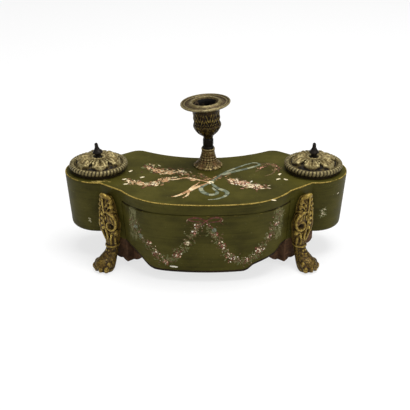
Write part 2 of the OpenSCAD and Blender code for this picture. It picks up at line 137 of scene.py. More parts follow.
class Graph:
    """A node tree in the making."""

    def __init__(self, tree: Tree) -> None:
        """Starts with the tree empty."""
        self.tree = tree
        tree.nodes.clear()

    def node(self, kind: str, settings: dict | None = None, inputs: dict | None = None) -> Node:
        """Adds a node.

        Args:
            kind: The node's type.
            settings: Attributes set first; "stops" holds a ramp's positions and colour codes.
            inputs: By a socket's name or number, a plain value, a colour code, or what to link:
                a value, a socket, or a node for its first output.

        Returns:
            The node.
        """
        made = self.tree.nodes.new(kind)
        for key, value in (settings or {}).items():
            if key != "stops":
                setattr(made, key, value)
                continue
            while len(made.color_ramp.elements) < len(value):
                made.color_ramp.elements.new(0.5)
            for element, (position, colour) in zip(made.color_ramp.elements, value):
                element.position, element.color = position, paint_colour(colour)
        for key, value in (inputs or {}).items():
            socket = made.inputs[key]
            value = value.socket if isinstance(value, Value) else value
            value = value.outputs[0] if isinstance(value, Node) else value
            if isinstance(value, Socket):
                self.tree.links.new(value, socket)
            elif isinstance(value, str) and socket.type == "RGBA":
                socket.default_value = paint_colour(value)
            else:
                socket.default_value = value
        return made

    def value(
        self, kind: str, settings: dict | None = None, inputs: dict | None = None, output: int | str = 0
    ) -> Value:
        """Adds a node and takes one of its outputs into an expression."""
        return Value(self, self.node(kind, settings, inputs).outputs[output])


class Shader(Graph):
    """A material in the making."""

    def __init__(self, name: str) -> None:
        """Starts an empty material of that name."""
        self.material = bpy.data.materials.new(name)
        self.material.use_nodes = True
        super().__init__(self.material.node_tree)
        metres = self.node("ShaderNodeTexCoord").outputs["Object"]
        self.place = self.node("ShaderNodeVectorMath", {"operation": "SCALE"}, {0: metres, "Scale": 1 / MM})

    def stretched(self, stretch: Sequence[float], shift: float = 0.0) -> Node:
        """The object's coordinates in millimetres, scaled and shifted by axis."""
        inputs = {"Vector": self.place, "Scale": tuple(stretch), "Location": (shift, shift / 2, -shift)}
        return self.node("ShaderNodeMapping", {"vector_type": "POINT"}, inputs)

    def noise(
        self, grain: float, detail: float, rough: float, stretch: Sequence[float] = (1, 1, 1), seed: float = 0.0
    ) -> Value:
        """Cloudy noise.

        Args:
            grain: Size of its features in millimetres.
            detail: Octaves.
            rough: Weight of the small octaves.
            stretch: Extra scale by axis.
            seed: Shift that gives another pattern.

        Returns:
            A value round 0.5.
        """
        place = self.stretched([s / grain for s in stretch], seed)
        inputs = {"Vector": place, "Scale": 1.0, "Detail": detail, "Roughness": rough}
        return self.value("ShaderNodeTexNoise", {"noise_dimensions": "3D"}, inputs)

    def cells(self, grain: float) -> Value:
        """Distance to the nearest of many scattered points."""
        inputs = {"Vector": self.stretched([1 / grain] * 3), "Scale": 1.0}
        return self.value("ShaderNodeTexVoronoi", {"voronoi_dimensions": "3D", "feature": "F1"}, inputs)

    def kept(self, name: str, output: str = "Fac") -> Value:
        """A number or a colour stored on the mesh, 0 where the mesh has none."""
        return self.value(
            "ShaderNodeAttribute", {"attribute_name": name, "attribute_type": "GEOMETRY"}, None, output
        )

    def mixed(self, factor: Value | float, first: object, second: object) -> Socket:
        """Blends two colours."""
        return self.node("ShaderNodeMix", {"data_type": "RGBA"}, {0: factor, 6: first, 7: second}).outputs[2]

    def ramp(self, factor: Value, *stops: tuple[float, str]) -> Node:
        """A colour that follows a value."""
        return self.node("ShaderNodeValToRGB", {"stops": stops}, {0: factor})

    def bumped(self, height: Value, depth: float) -> Node:
        """A normal bent by a height from 0 to 1 that stands for a depth in millimetres."""
        return self.node("ShaderNodeBump", None, {"Height": height, "Distance": depth * MM, "Strength": 1.0})

    def finished(self, **sockets: object) -> Material:
        """Ends the material in a Principled shader, whose sockets are named with _ for a space."""
        shader = self.node(
            "ShaderNodeBsdfPrincipled", None, {k.replace("_", " "): v for k, v in sockets.items()}
        )
        self.node("ShaderNodeOutputMaterial", None, {"Surface": shader})
        return self.material


@dataclass(frozen=True)
class PaintedWood:
    """Old olive paint in brushed coats, with worn gilding and bare edges where the mesh says; the same marks
    also paint shade in the drawer's top seam and a thin highlight along the drawer's top edge.
    """

    name: str = "olive_paint"
    ground: str = "3f3b13"
    shade: str = "2f2b0c"
    bloom: str = "4c461c"
    gold: str = "a8914a"
    gold_dark: str = "665321"
    bare: str = "2a1d13"
    bare_dark: str = "17100b"
    pale: str = "85825c"
    rubbed: str = "5d5a38"
    dark: str = "1f1c09"
    roughness: float = 0.5

    def material(self) -> Material:
        """Makes the material."""
        s = Shader(self.name)
        coats = s.noise(34, 5, 0.6, (1, 1, 1.6))
        brush = s.noise(5, 4, 0.65, (0.10, 0.30, 3.2), 4)
        specks = s.cells(4.2)
        dust = s.noise(0.9, 3, 0.6, seed=9)
        colour = s.ramp(
            coats * 0.66 + brush * 0.34, (0.36, self.shade), (0.52, self.ground), (0.70, self.bloom)
        )
        colour = s.mixed(specks.below(0.12, 0.08) * dust.above(0.56, 0.1) * 0.4, colour, self.pale)
        colour = s.mixed(dust.below(0.38, 0.12) * 0.4, colour, self.dark)
        # Dark bare wood where the mesh says: real wear on the lower edges, and painted shade along the drawer's
        # top seam.
        bare = (s.kept("wear") * 1.35 + s.noise(7, 4, 0.7, seed=2) * 0.9 - 0.72).above(0.5, 0.22)
        colour = s.mixed(bare, colour, s.mixed(brush.above(0.5, 0.4), self.bare, self.bare_dark))
        rubbed = (s.kept("scuff") * 0.5 + s.noise(1.5, 5, 0.8, (1, 1, 0.3), 12) * 1.3 - 0.54).above(0.5, 0.12)
        colour = s.mixed(rubbed * 0.8, colour, s.mixed(dust.above(0.5, 0.3), self.rubbed, self.pale))
        # Gold where the mesh says: the gilded edge of the top board, and a thin line under the drawer's top
        # edge that is partly a painted highlight.
        gilt = (s.kept("gilt") + s.noise(2.6, 5, 0.75, (0.45, 0.45, 1), 6) * 1.1 - 0.56).above(0.5, 0.12)
        colour = s.mixed(gilt, colour, s.mixed(dust.above(0.5, 0.3), self.gold_dark, self.gold))
        return s.finished(
            Base_Color=colour,
            Roughness=brush * 0.16 + (self.roughness - 0.08) - gilt * 0.08,
            Normal=s.bumped(brush * 0.7 + dust * 0.3, 0.09),
            Specular_IOR_Level=0.06,
        )


@dataclass(frozen=True)
class Brushstrokes:
    """The painter's colours, laid on as small raised daubs and rubbed by handling."""

    name: str = "painted_ornament"
    ground: str = "4a4829"
    dry: str = "d9ccaa"
    rubbed: float = 0.34

    def material(self) -> Material:
        """Makes the material."""
        s = Shader(self.name)
        hairs = s.noise(0.55, 3, 0.6)
        rub = s.noise(2.4, 4, 0.7, seed=3).above(1 - self.rubbed, 0.22)
        colour = s.mixed(hairs.above(0.62, 0.3) * 0.18, s.kept("tint", "Color"), self.dry)
        return s.finished(
            Base_Color=s.mixed(rub * 0.75, colour, self.ground),
            Roughness=hairs * 0.2 + 0.42,
            Normal=s.bumped(hairs, 0.05),
            Specular_IOR_Level=0.15,
        )


@dataclass(frozen=True)
class CastMetal:
    """Old cast metal: bright where it is rubbed, dark and dull in its hollows."""

    name: str
    high: str
    body: str
    deep: str
    stain: str
    roughness: float = 0.42
    metallic: float = 0.5
    grain: float = 0.8
    mottle: float = 2.2
    contrast: float = 0.6
    black: str = "120e07"

    def material(self) -> Material:
        """Makes the material."""
        s = Shader(self.name)
        clouds = s.noise(self.mottle, 5, 0.75)
        pits = s.noise(self.grain, 4, 0.7, seed=5)
        level = s.kept("hollow") * 0.5 + 0.5 + (clouds - 0.5) * self.contrast
        colour = s.ramp(level, (0.18, self.high), (0.42, self.body), (0.60, self.deep), (0.80, self.black))
        colour = s.mixed(s.noise(5, 4, 0.7, seed=8).above(0.56, 0.12) * 0.6, colour, self.stain)
        dull = level.above(0.6, 0.3)
        return s.finished(
            Base_Color=s.mixed(pits.below(0.38, 0.1) * 0.55, colour, self.deep),
            Metallic=self.metallic - dull * self.metallic * 0.8,
            Roughness=pits * 0.22 + (self.roughness - 0.11) + dull * 0.25,
            Specular_IOR_Level=0.16,
            Normal=s.bumped(pits, 0.16),
        )


@dataclass(frozen=True)
class BareWood:
    """Unpainted wood with long grain."""

    name: str
    light: str
    dark: str
    along: tuple[float, float, float] = (0.08, 1.0, 1.0)
    roughness: float = 0.62

    def material(self) -> Material:
        """Makes the material."""
        s = Shader(self.name)
        grain = s.noise(2.2, 5, 0.65, self.along)
        pores = s.noise(0.5, 2, 0.5, [a * 0.8 for a in self.along], 3)
        colour = s.ramp(grain * 0.75 + pores * 0.25, (0.36, self.dark), (0.62, self.light))
        return s.finished(
            Base_Color=s.mixed(s.noise(16, 3, 0.6, seed=7).above(0.52, 0.2) * 0.4, colour, self.dark),
            Roughness=grain * 0.2 + (self.roughness - 0.1),
            Normal=s.bumped(grain * 0.6 + pores * 0.4, 0.1),
            Specular_IOR_Level=0.12,
        )


@dataclass(frozen=True)
class InkGlass:
    """Clear old glass, stained by ink low down."""

    name: str = "well_glass"
    clear: str = "dfe8e2"
    ink: str = "20243a"
    level: float = 52.0

    def material(self) -> Material:
        """Makes the material."""
        s = Shader(self.name)
        cloud = s.noise(7, 4, 0.6)
        low = (s.value("ShaderNodeSeparateXYZ", None, {0: s.place}, "Z") + cloud * 14).below(self.level, 9)
        return s.finished(
            Base_Color=s.mixed(low, self.clear, self.ink),
            Roughness=cloud * 0.08 + 0.05 + low * 0.2,
            Transmission_Weight=0.85,
            IOR=1.48,
        )


class Body(Enum):
    """The moving bodies of the part."""

    CASE = "case"
    DRAWER = "drawer"
    LEFT_LID = "left_lid"
    RIGHT_LID = "right_lid"


class Side(Enum):
    """The left and the right of the object, by the sign of X."""

    LEFT = -1
    RIGHT = 1

    @property
    def word(self) -> str:
        """The side's name, as the part's nodes spell it."""
        return self.name.lower()

    @property
    def lid(self) -> Body:
        """The body of that side's lid."""
        return Body(f"{self.word}_lid")


def linked(name: str, data: bpy.types.ID) -> Object:
    """A new object in the scene."""
    made = bpy.data.objects.new(name, data)
    bpy.context.scene.collection.objects.link(made)
    return made


def applied(made: Object) -> bpy.types.Mesh:
    """Turns an object with modifiers into a plain mesh and removes the object."""
    mesh = bpy.data.meshes.new_from_object(made.evaluated_get(bpy.context.evaluated_depsgraph_get()))
    bpy.data.objects.remove(made)
    return mesh


def skin_of(mesh: bpy.types.Mesh, scale: float = MM) -> Skin:
    """Takes the points, divided by the scale, and the faces out of a mesh and removes it."""
    points = np.zeros(len(mesh.vertices) * 3)
    mesh.vertices.foreach_get("co", points)
    faces = [tuple(f.vertices) for f in mesh.polygons]
    bpy.data.meshes.remove(mesh)
    return points.reshape(-1, 3) / scale, faces


def mesh_of(name: str, points: Array, faces: Sequence) -> bpy.types.Mesh:
    """A mesh from points in millimetres and faces."""
    mesh = bpy.data.meshes.new(name)
    mesh.from_pydata((points * MM).tolist(), [], [list(map(int, f)) for f in faces])
    return mesh


@dataclass
class Piece:
    """A mesh in the making: points in millimetres, faces, and numbers kept at the points."""

    points: Array
    faces: list
    kept: dict[str, Array] = field(default_factory=dict)

    def placed(
        self,
        name: str,
        material: Material,
        body: Body,
        nodes: Iterable[str] = (),
        sharp: float = 40.0,
        merge: bool = False,
    ) -> Object:
        """Makes the object, dresses it and lets it ride.

        Args:
            name: The piece's name.
            material: Its finish.
            body: The body it moves with.
            nodes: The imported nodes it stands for.
            sharp: Angle in degrees past which an edge stays sharp.
            merge: Whether points in one place become one and the faces are turned outwards.

        Returns:
            The object.
        """
        mesh = mesh_of(name, self.points, self.faces)
        for key, numbers in self.kept.items():
            mesh.attributes.new(key, "FLOAT", "POINT").data.foreach_set(
                "value", np.asarray(numbers, np.float32)
            )
        if merge:
            shape = bmesh.new()
            shape.from_mesh(mesh)
            bmesh.ops.remove_doubles(shape, verts=shape.verts, dist=1e-6)
            bmesh.ops.recalc_face_normals(shape, faces=shape.faces)
            shape.to_mesh(mesh)
            shape.free()
        mesh.shade_smooth()
        mesh.set_sharp_from_angle(angle=math.radians(sharp))
        mesh.materials.append(material)
        return settled(linked(name, mesh), body, nodes)


def settled(made: Object, body: Body, nodes: Iterable[str] = ()) -> Object:
    """Lets a finished object ride on its body and hides what it stands for.

    Args:
        made: The object.
        body: Its body.
        nodes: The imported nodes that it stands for.

    Returns:
        The object.
    """
    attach(made, body.value)
    if nodes:
        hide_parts(*nodes)
    LOG.info("%s: %d faces on %s", made.name, len(made.data.polygons), body.value)
    return made


def sheet_faces(rows: int, columns: int, close_rows: bool = False, close_columns: bool = False) -> list:
    """Quads of a grid of points, row by row.

    Args:
        rows: How many rows.
        columns: Points in a row.
        close_rows: Whether the last row joins the first.
        close_columns: Whether each row is a ring.

    Returns:
        The faces.
    """
    return [
        (
            r * columns + c,
            r * columns + (c + 1) % columns,
            (r + 1) % rows * columns + (c + 1) % columns,
            (r + 1) % rows * columns + c,
        )
        for r in range(rows if close_rows else rows - 1)
        for c in range(columns if close_columns else columns - 1)
    ]


def hollowness(points: Array, faces: Sequence, rounds: int, size: float) -> Array:
    """How hollow the surface is round each point.

    Args:
        points: The points.
        faces: The faces.
        rounds: How often the surface is evened out for the comparison.
        size: The depth in millimetres that counts as fully hollow.

    Returns:
        From -1 on ridges to 1 in hollows.
    """
    corners = np.array([(f[k], f[(k + 1) % len(f)]) for f in faces for k in range(len(f))])
    a, b = corners[:, 0], corners[:, 1]
    count = np.maximum(np.bincount(a, minlength=len(points)) + np.bincount(b, minlength=len(points)), 1)

    def evened(v: Array) -> Array:
        """The mean of each point's neighbours."""
        total = np.empty_like(v)
        for k in range(v.shape[1]):
            total[:, k] = np.bincount(a, v[b, k], len(points)) + np.bincount(b, v[a, k], len(points))
        return total / count[:, None]

    normals = np.zeros_like(points)
    for f in faces:
        turn = np.cross(points[f[1]] - points[f[0]], points[f[2]] - points[f[0]])
        for k in f:
            normals[k] += turn
    normals /= np.linalg.norm(normals, axis=1)[:, None] + 1e-12
    smooth = points.copy()
    for _ in range(rounds):
        smooth = smooth * 0.4 + evened(smooth) * 0.6
    depth = np.einsum("ij,ij->i", smooth - points, normals)[:, None]
    for _ in range(2):
        depth = depth * 0.5 + evened(depth) * 0.5
    return np.clip(depth[:, 0] / size, -1, 1)


def read(curve: Sequence[tuple[float, float]], x: Array) -> Array:
    """The height of a curve, given as pairs of place and height, at the places x."""
    places, heights = np.array(curve, float).T
    return np.interp(x, places, heights)


def slope(x: Array, start: float, width: float) -> Array:
    """A straight slope from 0 at the start to 1 at the end of the width."""
    return np.clip((x - start) / width, 0, 1)


def ridge(x: Array, middle: float, width: float) -> Array:
    """A ridge of height 1 that falls straight to 0 over the width on both sides."""
    return np.clip(1 - np.abs(x - middle) / width, 0, 1)


def mound(x: Array, middle: float, width: float) -> Array:
    """A soft mound of height 1 that fades over the width on both sides."""
    return np.exp(-(((x - middle) / width) ** 2))


def raised(line: Array, z: float) -> Array:
    """A line of the plan at a height."""
    return np.column_stack([line, np.full(len(line), z)])


def heading(step: Array) -> float:
    """The angle of a step in the plane, in degrees."""
    return math.degrees(math.atan2(step[1], step[0]))


def unit(degrees: float) -> Array:
    """The direction at that angle in the plan."""
    return np.array([math.cos(math.radians(degrees)), math.sin(math.radians(degrees))])


@dataclass(frozen=True)
class Plan:
    """The case's curves in plan, the same as the part's own."""

    top_z: float = 79.0
    bottom_z: float = 28.0
    board: float = 10.0
    floor: float = 5.0
    wall: float = 5.0
    draft: float = 4.5
    well_x: float = 99.0
    end_r: float = 31.0
    bow_reach: float = 77.5
    bow_r: float = 200.0
    bow_side_r: float = 60.0
    bow_side_x: float = 24.2
    facet_turn: float = 38.8
    facet_reach: float = 83.8
    back_turn: float = 37.9
    back_reach: float = 77.3
    back_r: float = 110.0
    back_mid: float = 26.4
    hump_r: float = 12.0
    front_in: float = 12.0
    gap: float = 0.6
    bow_steps: int = 22
    bow_side_steps: int = 36
    facet_steps: int = 8
    end_steps: int = 90
    hump_steps: int = 14
    hollow_steps: int = 30

    @staticmethod
    def meet(centre: Array, radius: float, normal: Array, reach: float, side: int) -> Array:
        """Where a circle crosses a line.

        Args:
            centre: The circle's centre.
            radius: Its radius.
            normal: The line's unit normal.
            reach: The line's distance from the frame's middle.
            side: Which of the two crossings.

        Returns:
            The point.
        """
        d = reach - float(normal @ centre)
        along = np.array([-normal[1], normal[0]])
        return centre + d * normal + side * math.sqrt(radius**2 - d**2) * along

    @staticmethod
    def angle(centre: Array, point: Array) -> float:
        """The direction from a centre to a point, in degrees."""
        return heading(point - centre)

    @staticmethod
    def arc(centre: Array, radius: float, start: float, end: float, count: int) -> Array:
        """Points along an arc, both ends with them."""
        turns = np.radians(np.linspace(start, end, count + 1))
        return centre + radius * np.stack([np.cos(turns), np.sin(turns)], 1)

    @property
    def facet_n(self) -> Array:
        """The front facets' normal."""
        return unit(self.facet_turn - 90)

    @property
    def back_n(self) -> Array:
        """The back facets' normal."""
        return unit(90 - self.back_turn)

    @property
    def well(self) -> Array:
        """The right well's centre."""
        return np.array([self.well_x, 0.0])

    @property
    def bow_c(self) -> Array:
        """Centre of the bow's middle."""
        return np.array([0.0, self.bow_r - self.bow_reach])

    @property
    def side_c(self) -> Array:
        """Centre of the bow's right side."""
        drop = math.sqrt((self.bow_r - self.bow_side_r) ** 2 - self.bow_side_x**2)
        return np.array([self.bow_side_x, self.bow_c[1] - drop])

    @property
    def back_c(self) -> Array:
        """Centre of the hollow back."""
        return np.array([0.0, self.back_mid + self.back_r])

    @property
    def hump_c(self) -> Array:
        """Centre of the right shoulder."""
        return self.meet(self.back_c, self.back_r + self.hump_r, self.back_n, self.back_reach - self.hump_r, -1)

    def inset(self, z: float) -> float:
        """How far the leaning walls have come in at a height."""
        return (self.top_z - z) * math.tan(math.radians(self.draft))

    def corner(self, i: float) -> Array:
        """Where the bow meets the front facet."""
        return self.meet(self.side_c, self.bow_side_r - i, self.facet_n, self.facet_reach - i, 1)

    def notch(self, i: float) -> Array:
        """Where the front facet meets the round end."""
        return self.meet(self.well, self.end_r - i, self.facet_n, self.facet_reach - i, -1)

    def back_notch(self, i: float) -> Array:
        """Where the round end meets the back facet."""
        return self.meet(self.well, self.end_r - i, self.back_n, self.back_reach - i, 1)

    def shoulder(self, i: float) -> Array:
        """Where the back facet meets the shoulder."""
        return self.hump_c + (self.hump_r - i) * unit(90 - self.back_turn)

    def bow_half(self, i: float) -> Array:
        """The bow's right half, from the middle to the facet's corner."""
        bend = 270 + math.degrees(math.asin(self.bow_side_x / (self.bow_r - self.bow_side_r)))
        end = 360 + self.angle(self.side_c, self.corner(i))
        first = self.arc(self.bow_c, self.bow_r - i, 270, bend, self.bow_steps)
        return np.concatenate(
            [first, self.arc(self.side_c, self.bow_side_r - i, bend, end, self.bow_side_steps)[1:]]
        )

    def bow(self, i: float) -> Array:
        """The whole bow from left to right."""
        half = self.bow_half(i)
        return np.concatenate([half[:0:-1] * [-1, 1], half])

    def end_arc(self, i: float) -> Array:
        """The right round end."""
        start, end = self.angle(self.well, self.notch(i)), self.angle(self.well, self.back_notch(i))
        return self.arc(self.well, self.end_r - i, start, end, self.end_steps)

    def back_half(self, i: float) -> Array:
        """The back's right half, from the facet's end to the middle."""
        turn = self.angle(self.hump_c, self.back_c)
        first = self.arc(self.hump_c, self.hump_r - i, 90 - self.back_turn, turn, self.hump_steps)
        return np.concatenate(
            [first, self.arc(self.back_c, self.back_r + i, turn - 180, -90, self.hollow_steps)[1:]]
        )

    def back(self, i: float) -> Array:
        """The whole back from right to left."""
        half = self.back_half(i)
        return np.concatenate([half, half[-2::-1] * [-1, 1]])

    def outline(self, i: float) -> Array:
        """The whole plan, anticlockwise from the middle of the front."""
        steps = np.arange(1, self.facet_steps)[:, None] / self.facet_steps
        front = self.corner(i) + (self.notch(i) - self.corner(i)) * steps
        back = self.back_notch(i) + (self.shoulder(i) - self.back_notch(i)) * steps
        half = np.concatenate([self.bow_half(i), front, self.end_arc(i), back, self.back_half(i)])
        return np.concatenate([half, half[-2:0:-1] * [-1, 1]])

    def front(self, x: float, z: float) -> Spot:
        """A point on the drawer front.

        Args:
            x: Distance to the right of the middle.
            z: Height.

        Returns:
            The point and the outward normal, in the object's frame.
        """
        i, ax, lean = self.inset(z), abs(x), math.tan(math.radians(self.draft))
        bend = (self.bow_r - i) * self.bow_side_x / (self.bow_r - self.bow_side_r)
        centre, radius = (self.bow_c, self.bow_r - i) if ax <= bend else (self.side_c, self.bow_side_r - i)
        dx = min(ax - centre[0], radius * 0.995)
        y = centre[1] - math.sqrt(radius**2 - dx**2)
        normal = np.array([dx / radius * (1 if x >= 0 else -1), (y - centre[1]) / radius, -lean])
        return np.array([x, y + LINE_Y, z]), normal / np.linalg.norm(normal)

    def end(self, side: Side, turn: float, z: float) -> Spot:
        """A point on a round end and its normal, at an angle from straight outwards."""
        d = unit(turn)
        r = self.end_r - self.inset(z)
        point = np.array([(self.well_x + r * d[0]) * side.value, r * d[1] + LINE_Y, z])
        return point, np.array([d[0] * side.value, d[1], -math.tan(math.radians(self.draft))])


PLAN = Plan()


@dataclass
class Case:
    """The painted case and its drawer front, built from the plan with soft edges."""

    plan: Plan = PLAN
    paint: PaintedWood = PaintedWood()
    roundness: float = 0.6
    well_hole_r: float = 20.3
    rod_hole: tuple = (2.0, 8.0, 2.2)
    worn_corner_x: float = 85.3
    edge_gilt: float = 0.68
    apron: tuple = (
        (-80, 28), (-72, 26.8), (-66, 23.6), (-60, 18.9), (-55.5, 14.4), (-52, 11.4), (-48, 10), (-44, 9.9),
        (34, 9.9), (38, 11.2), (43, 15.4), (48, 16.9), (56, 18.8), (63, 20.4), (66, 22.6), (69, 27), (80, 28),
    )

    def build(self) -> None:
        """Builds and dresses every painted piece."""
        self.finish = self.paint.material()
        self.top_board()
        self.bottom_board()
        for side in Side:
            self.end_wall(side)
            for place in ("front", "back"):
                dressed(f"{place}_post_{side.word}", self.finish)
        self.back_wall()
        self.drawer_front()

    def painted(
        self, name: str, node: str, skin: Skin, sharp: float = 40, kept: dict | None = None,
        body: Body = Body.CASE
    ) -> None:
        """Places a painted piece.

        Args:
            name: Its name.
            node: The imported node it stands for.
            skin: Its points and faces.
            sharp: Angle in degrees past which an edge stays sharp.
            kept: Gilding, wear and scuffs at its points.
            body: The body it moves with.
        """
        Piece(*skin, kept or {}).placed(name, self.finish, body, [node], sharp, merge=True)

    def top_board(self) -> None:
        """The top board with a soft gilded edge, pierced over each well and for the rod."""
        p, lip = self.plan, self.roundness
        low_z = p.top_z - p.board
        sides = ((low_z, 0.0), (low_z + 3, 0.0), (low_z + 6, 0.0), (p.top_z - 1.8, 0.0), (p.top_z - 1.2, 0.12))
        rings = [(p.inset(z), z, g) for z, g in (*sides, (p.top_z - lip, 0.5))]
        for turn in (30, 60, 90):
            a = math.radians(turn)
            rings.append((lip * (1 - math.cos(a)) + 0.06, p.top_z - lip * (1 - math.sin(a)), self.edge_gilt))
        flat = [(lip + 0.3, 0.5), (lip + 0.7, 0.12), (lip + 1.6, 0.0), (lip + 4, 0.0)]
        outline = [p.outline(i) for i, _, _ in rings]
        n = len(outline[0])
        points = np.concatenate([raised(o, z) for o, (_, z, _) in zip(outline, rings)])
        gilt = np.repeat([g for _, _, g in rings], n)
        facet = ridge(np.abs(points[:, 0]), self.worn_corner_x, 10) * (points[:, 1] < -25)
        gilt = np.where(gilt > 0, gilt + facet * 0.3, 0)
        gilt = np.where(points[:, 1] > -28, gilt * 0.72, gilt)
        scuff = facet * (points[:, 2] > p.top_z - 5) * 0.5
        faces = sheet_faces(len(rings), n, close_columns=True)
        holes = [(p.well_x, 0.0, self.well_hole_r), (-p.well_x, 0.0, self.well_hole_r), self.rod_hole]
        loops = [p.arc(np.array(h[:2]), h[2], 0, 360 * 71 / 72, 71) for h in holes]
        top, top_faces, top_gilt = self.cap(
            [(outline[-1], 1.0)] + [(p.outline(i), g) for i, g in flat], loops, holes
        )
        base, base_faces, _ = self.cap([(outline[0], 0.0)], loops, holes)
        blocks = [points, raised(top, p.top_z)]
        faces += [[k + len(points) for k in f] for f in top_faces]
        offset = len(points) + len(top)
        blocks.append(raised(base, low_z))
        faces += [[k + offset for k in reversed(f)] for f in base_faces]
        offset += len(base)
        for loop in loops:
            m = len(loop)
            blocks += [raised(loop, p.top_z), raised(loop, low_z)]
            faces += [[k + offset for k in f] for f in sheet_faces(2, m, close_columns=True)]
            offset += 2 * m
        whole = np.concatenate(blocks) + [0, LINE_Y, 0]
        extra = np.zeros(len(whole) - len(points) - len(top))
        kept = {"gilt": np.concatenate([gilt, top_gilt, extra])}
        kept["scuff"] = np.concatenate([scuff, np.zeros(len(whole) - len(scuff))])
        self.painted("painted_top_board", "top_board", (whole, faces), 50, kept)

    def cap(self, loops: list, cuts: list, holes: list) -> tuple[Array, list, Array]:
        """Fills a flat outline, with finer rings along its edge.

        Args:
            loops: The outline and the rings inside it, each with its gilding.
            cuts: The outlines of the holes.
            holes: The same holes as centre and radius.

        Returns:
            The points, the triangles and the gilding at the points.
        """
        points = np.concatenate([line for line, _ in loops] + cuts)
        gilt = np.concatenate([np.full(len(line), g) for line, g in loops] + [np.zeros(len(c)) for c in cuts])
        edges, start = [], 0
        for line in [line for line, _ in loops] + cuts:
            edges += [(start + k, start + (k + 1) % len(line)) for k in range(len(line))]
            start += len(line)
        made, _, faces, source, _, _ = delaunay_2d_cdt([Vector(q) for q in points], edges, [], 0, 1e-5)
        made = np.array([v[:] for v in made])
        gilding = np.array([gilt[s[0]] if s else 0.0 for s in source])
        outer = loops[0][0]
        kept = []
        for f in faces:
            middle = made[list(f)].mean(0)
            if any(np.hypot(*(middle - h[:2])) < h[2] for h in holes) or not self.inside(middle, outer):
                continue
            a, b, c = made[f[0]], made[f[1]], made[f[2]]
            area = (b[0] - a[0]) * (c[1] - a[1]) - (b[1] - a[1]) * (c[0] - a[0])
            kept.append(list(f) if area > 0 else list(reversed(f)))
        return made, kept, gilding

    @staticmethod
    def inside(point: Array, line: Array) -> bool:
        """Whether a point lies inside a closed line."""
        a, b = line, np.roll(line, -1, 0)
        crossing = (a[:, 1] > point[1]) != (b[:, 1] > point[1])
        rise = np.where(b[:, 1] == a[:, 1], 1e-12, b[:, 1] - a[:, 1])
        x = a[:, 0] + (point[1] - a[:, 1]) * (b[:, 0] - a[:, 0]) / rise
        return bool(np.sum(crossing & (x > point[0])) % 2)

    def swept(self, rings: Sequence[Array]) -> Skin:
        """A closed band from sections that all have the same number of points."""
        n = len(rings[0])
        faces = sheet_faces(len(rings), n, close_columns=True)
        last = (len(rings) - 1) * n
        faces += [list(range(n)), list(range(last + n - 1, last - 1, -1))]
        return np.concatenate(rings), faces

    def wall(self, line: Callable[[float], Array]) -> Skin:
        """A case wall along a line of the plan, which is given at an inset."""
        p = self.plan
        low, high = p.bottom_z + p.floor, p.top_z - p.board
        levels = [(p.inset(z), z) for z in (low, low + 9, low + 18, low + 27, high)]
        levels += [(p.inset(z) + p.wall, z) for z in (high, low)]
        lines = [raised(line(i), z) for i, z in levels]
        return self.swept(
            [np.array([layer[k] for layer in lines]) + [0, LINE_Y, 0] for k in range(len(lines[0]))]
        )

    def end_wall(self, side: Side) -> None:
        """A round end."""
        points, faces = self.wall(self.plan.end_arc)
        name = f"end_wall_{side.word}"
        self.painted(f"round_{name}", name, (points * [side.value, 1, 1], faces))

    def back_wall(self) -> None:
        """The hollow back."""
        self.painted("hollow_back_wall", "back_wall", self.wall(self.plan.back))

    def bottom_board(self) -> None:
        """The bottom board behind the drawer front, with a worn lower edge."""
        p = self.plan
        low, high = p.bottom_z, p.bottom_z + p.floor
        cut = p.bow(p.front_in + p.gap)

        def ring(i: float) -> Array:
            """The board's outline at an inset."""
            mitre = p.corner(i) + p.gap * np.array([-p.facet_n[1], p.facet_n[0]])
            half = np.concatenate([[mitre], p.end_arc(i), p.back_half(i)])
            return np.concatenate([cut, half, half[-2::-1] * [-1, 1]])

        levels = [(p.inset(low) + 0.8, low), (p.inset(low) + 0.15, low + 0.8), (p.inset(low + 3), low + 3)]
        levels += [(p.inset(high), high)]
        lines = [raised(ring(i), z) for i, z in levels]
        n = len(lines[0])
        points = np.concatenate(lines) + [0, LINE_Y, 0]
        faces = sheet_faces(len(lines), n, close_columns=True)
        flat, cap_faces, _ = self.cap([(lines[0][:, :2], 0.0)], [], [])
        for z, turn in ((low, -1), (high, 1)):
            level = lines[0] if turn < 0 else lines[-1]
            index = [int(np.argmin(np.hypot(*(lines[0][:, :2] - q).T))) for q in flat]
            start = len(points)
            points = np.concatenate([points, level[index] + [0, LINE_Y, 0]])
            faces += [[k + start for k in f[::turn]] for f in cap_faces]
        wear = np.where(points[:, 2] < low + 1.5, 0.55, 0.0)
        self.painted("painted_bottom_board", "bottom_board", (points, faces), kept={"wear": wear})

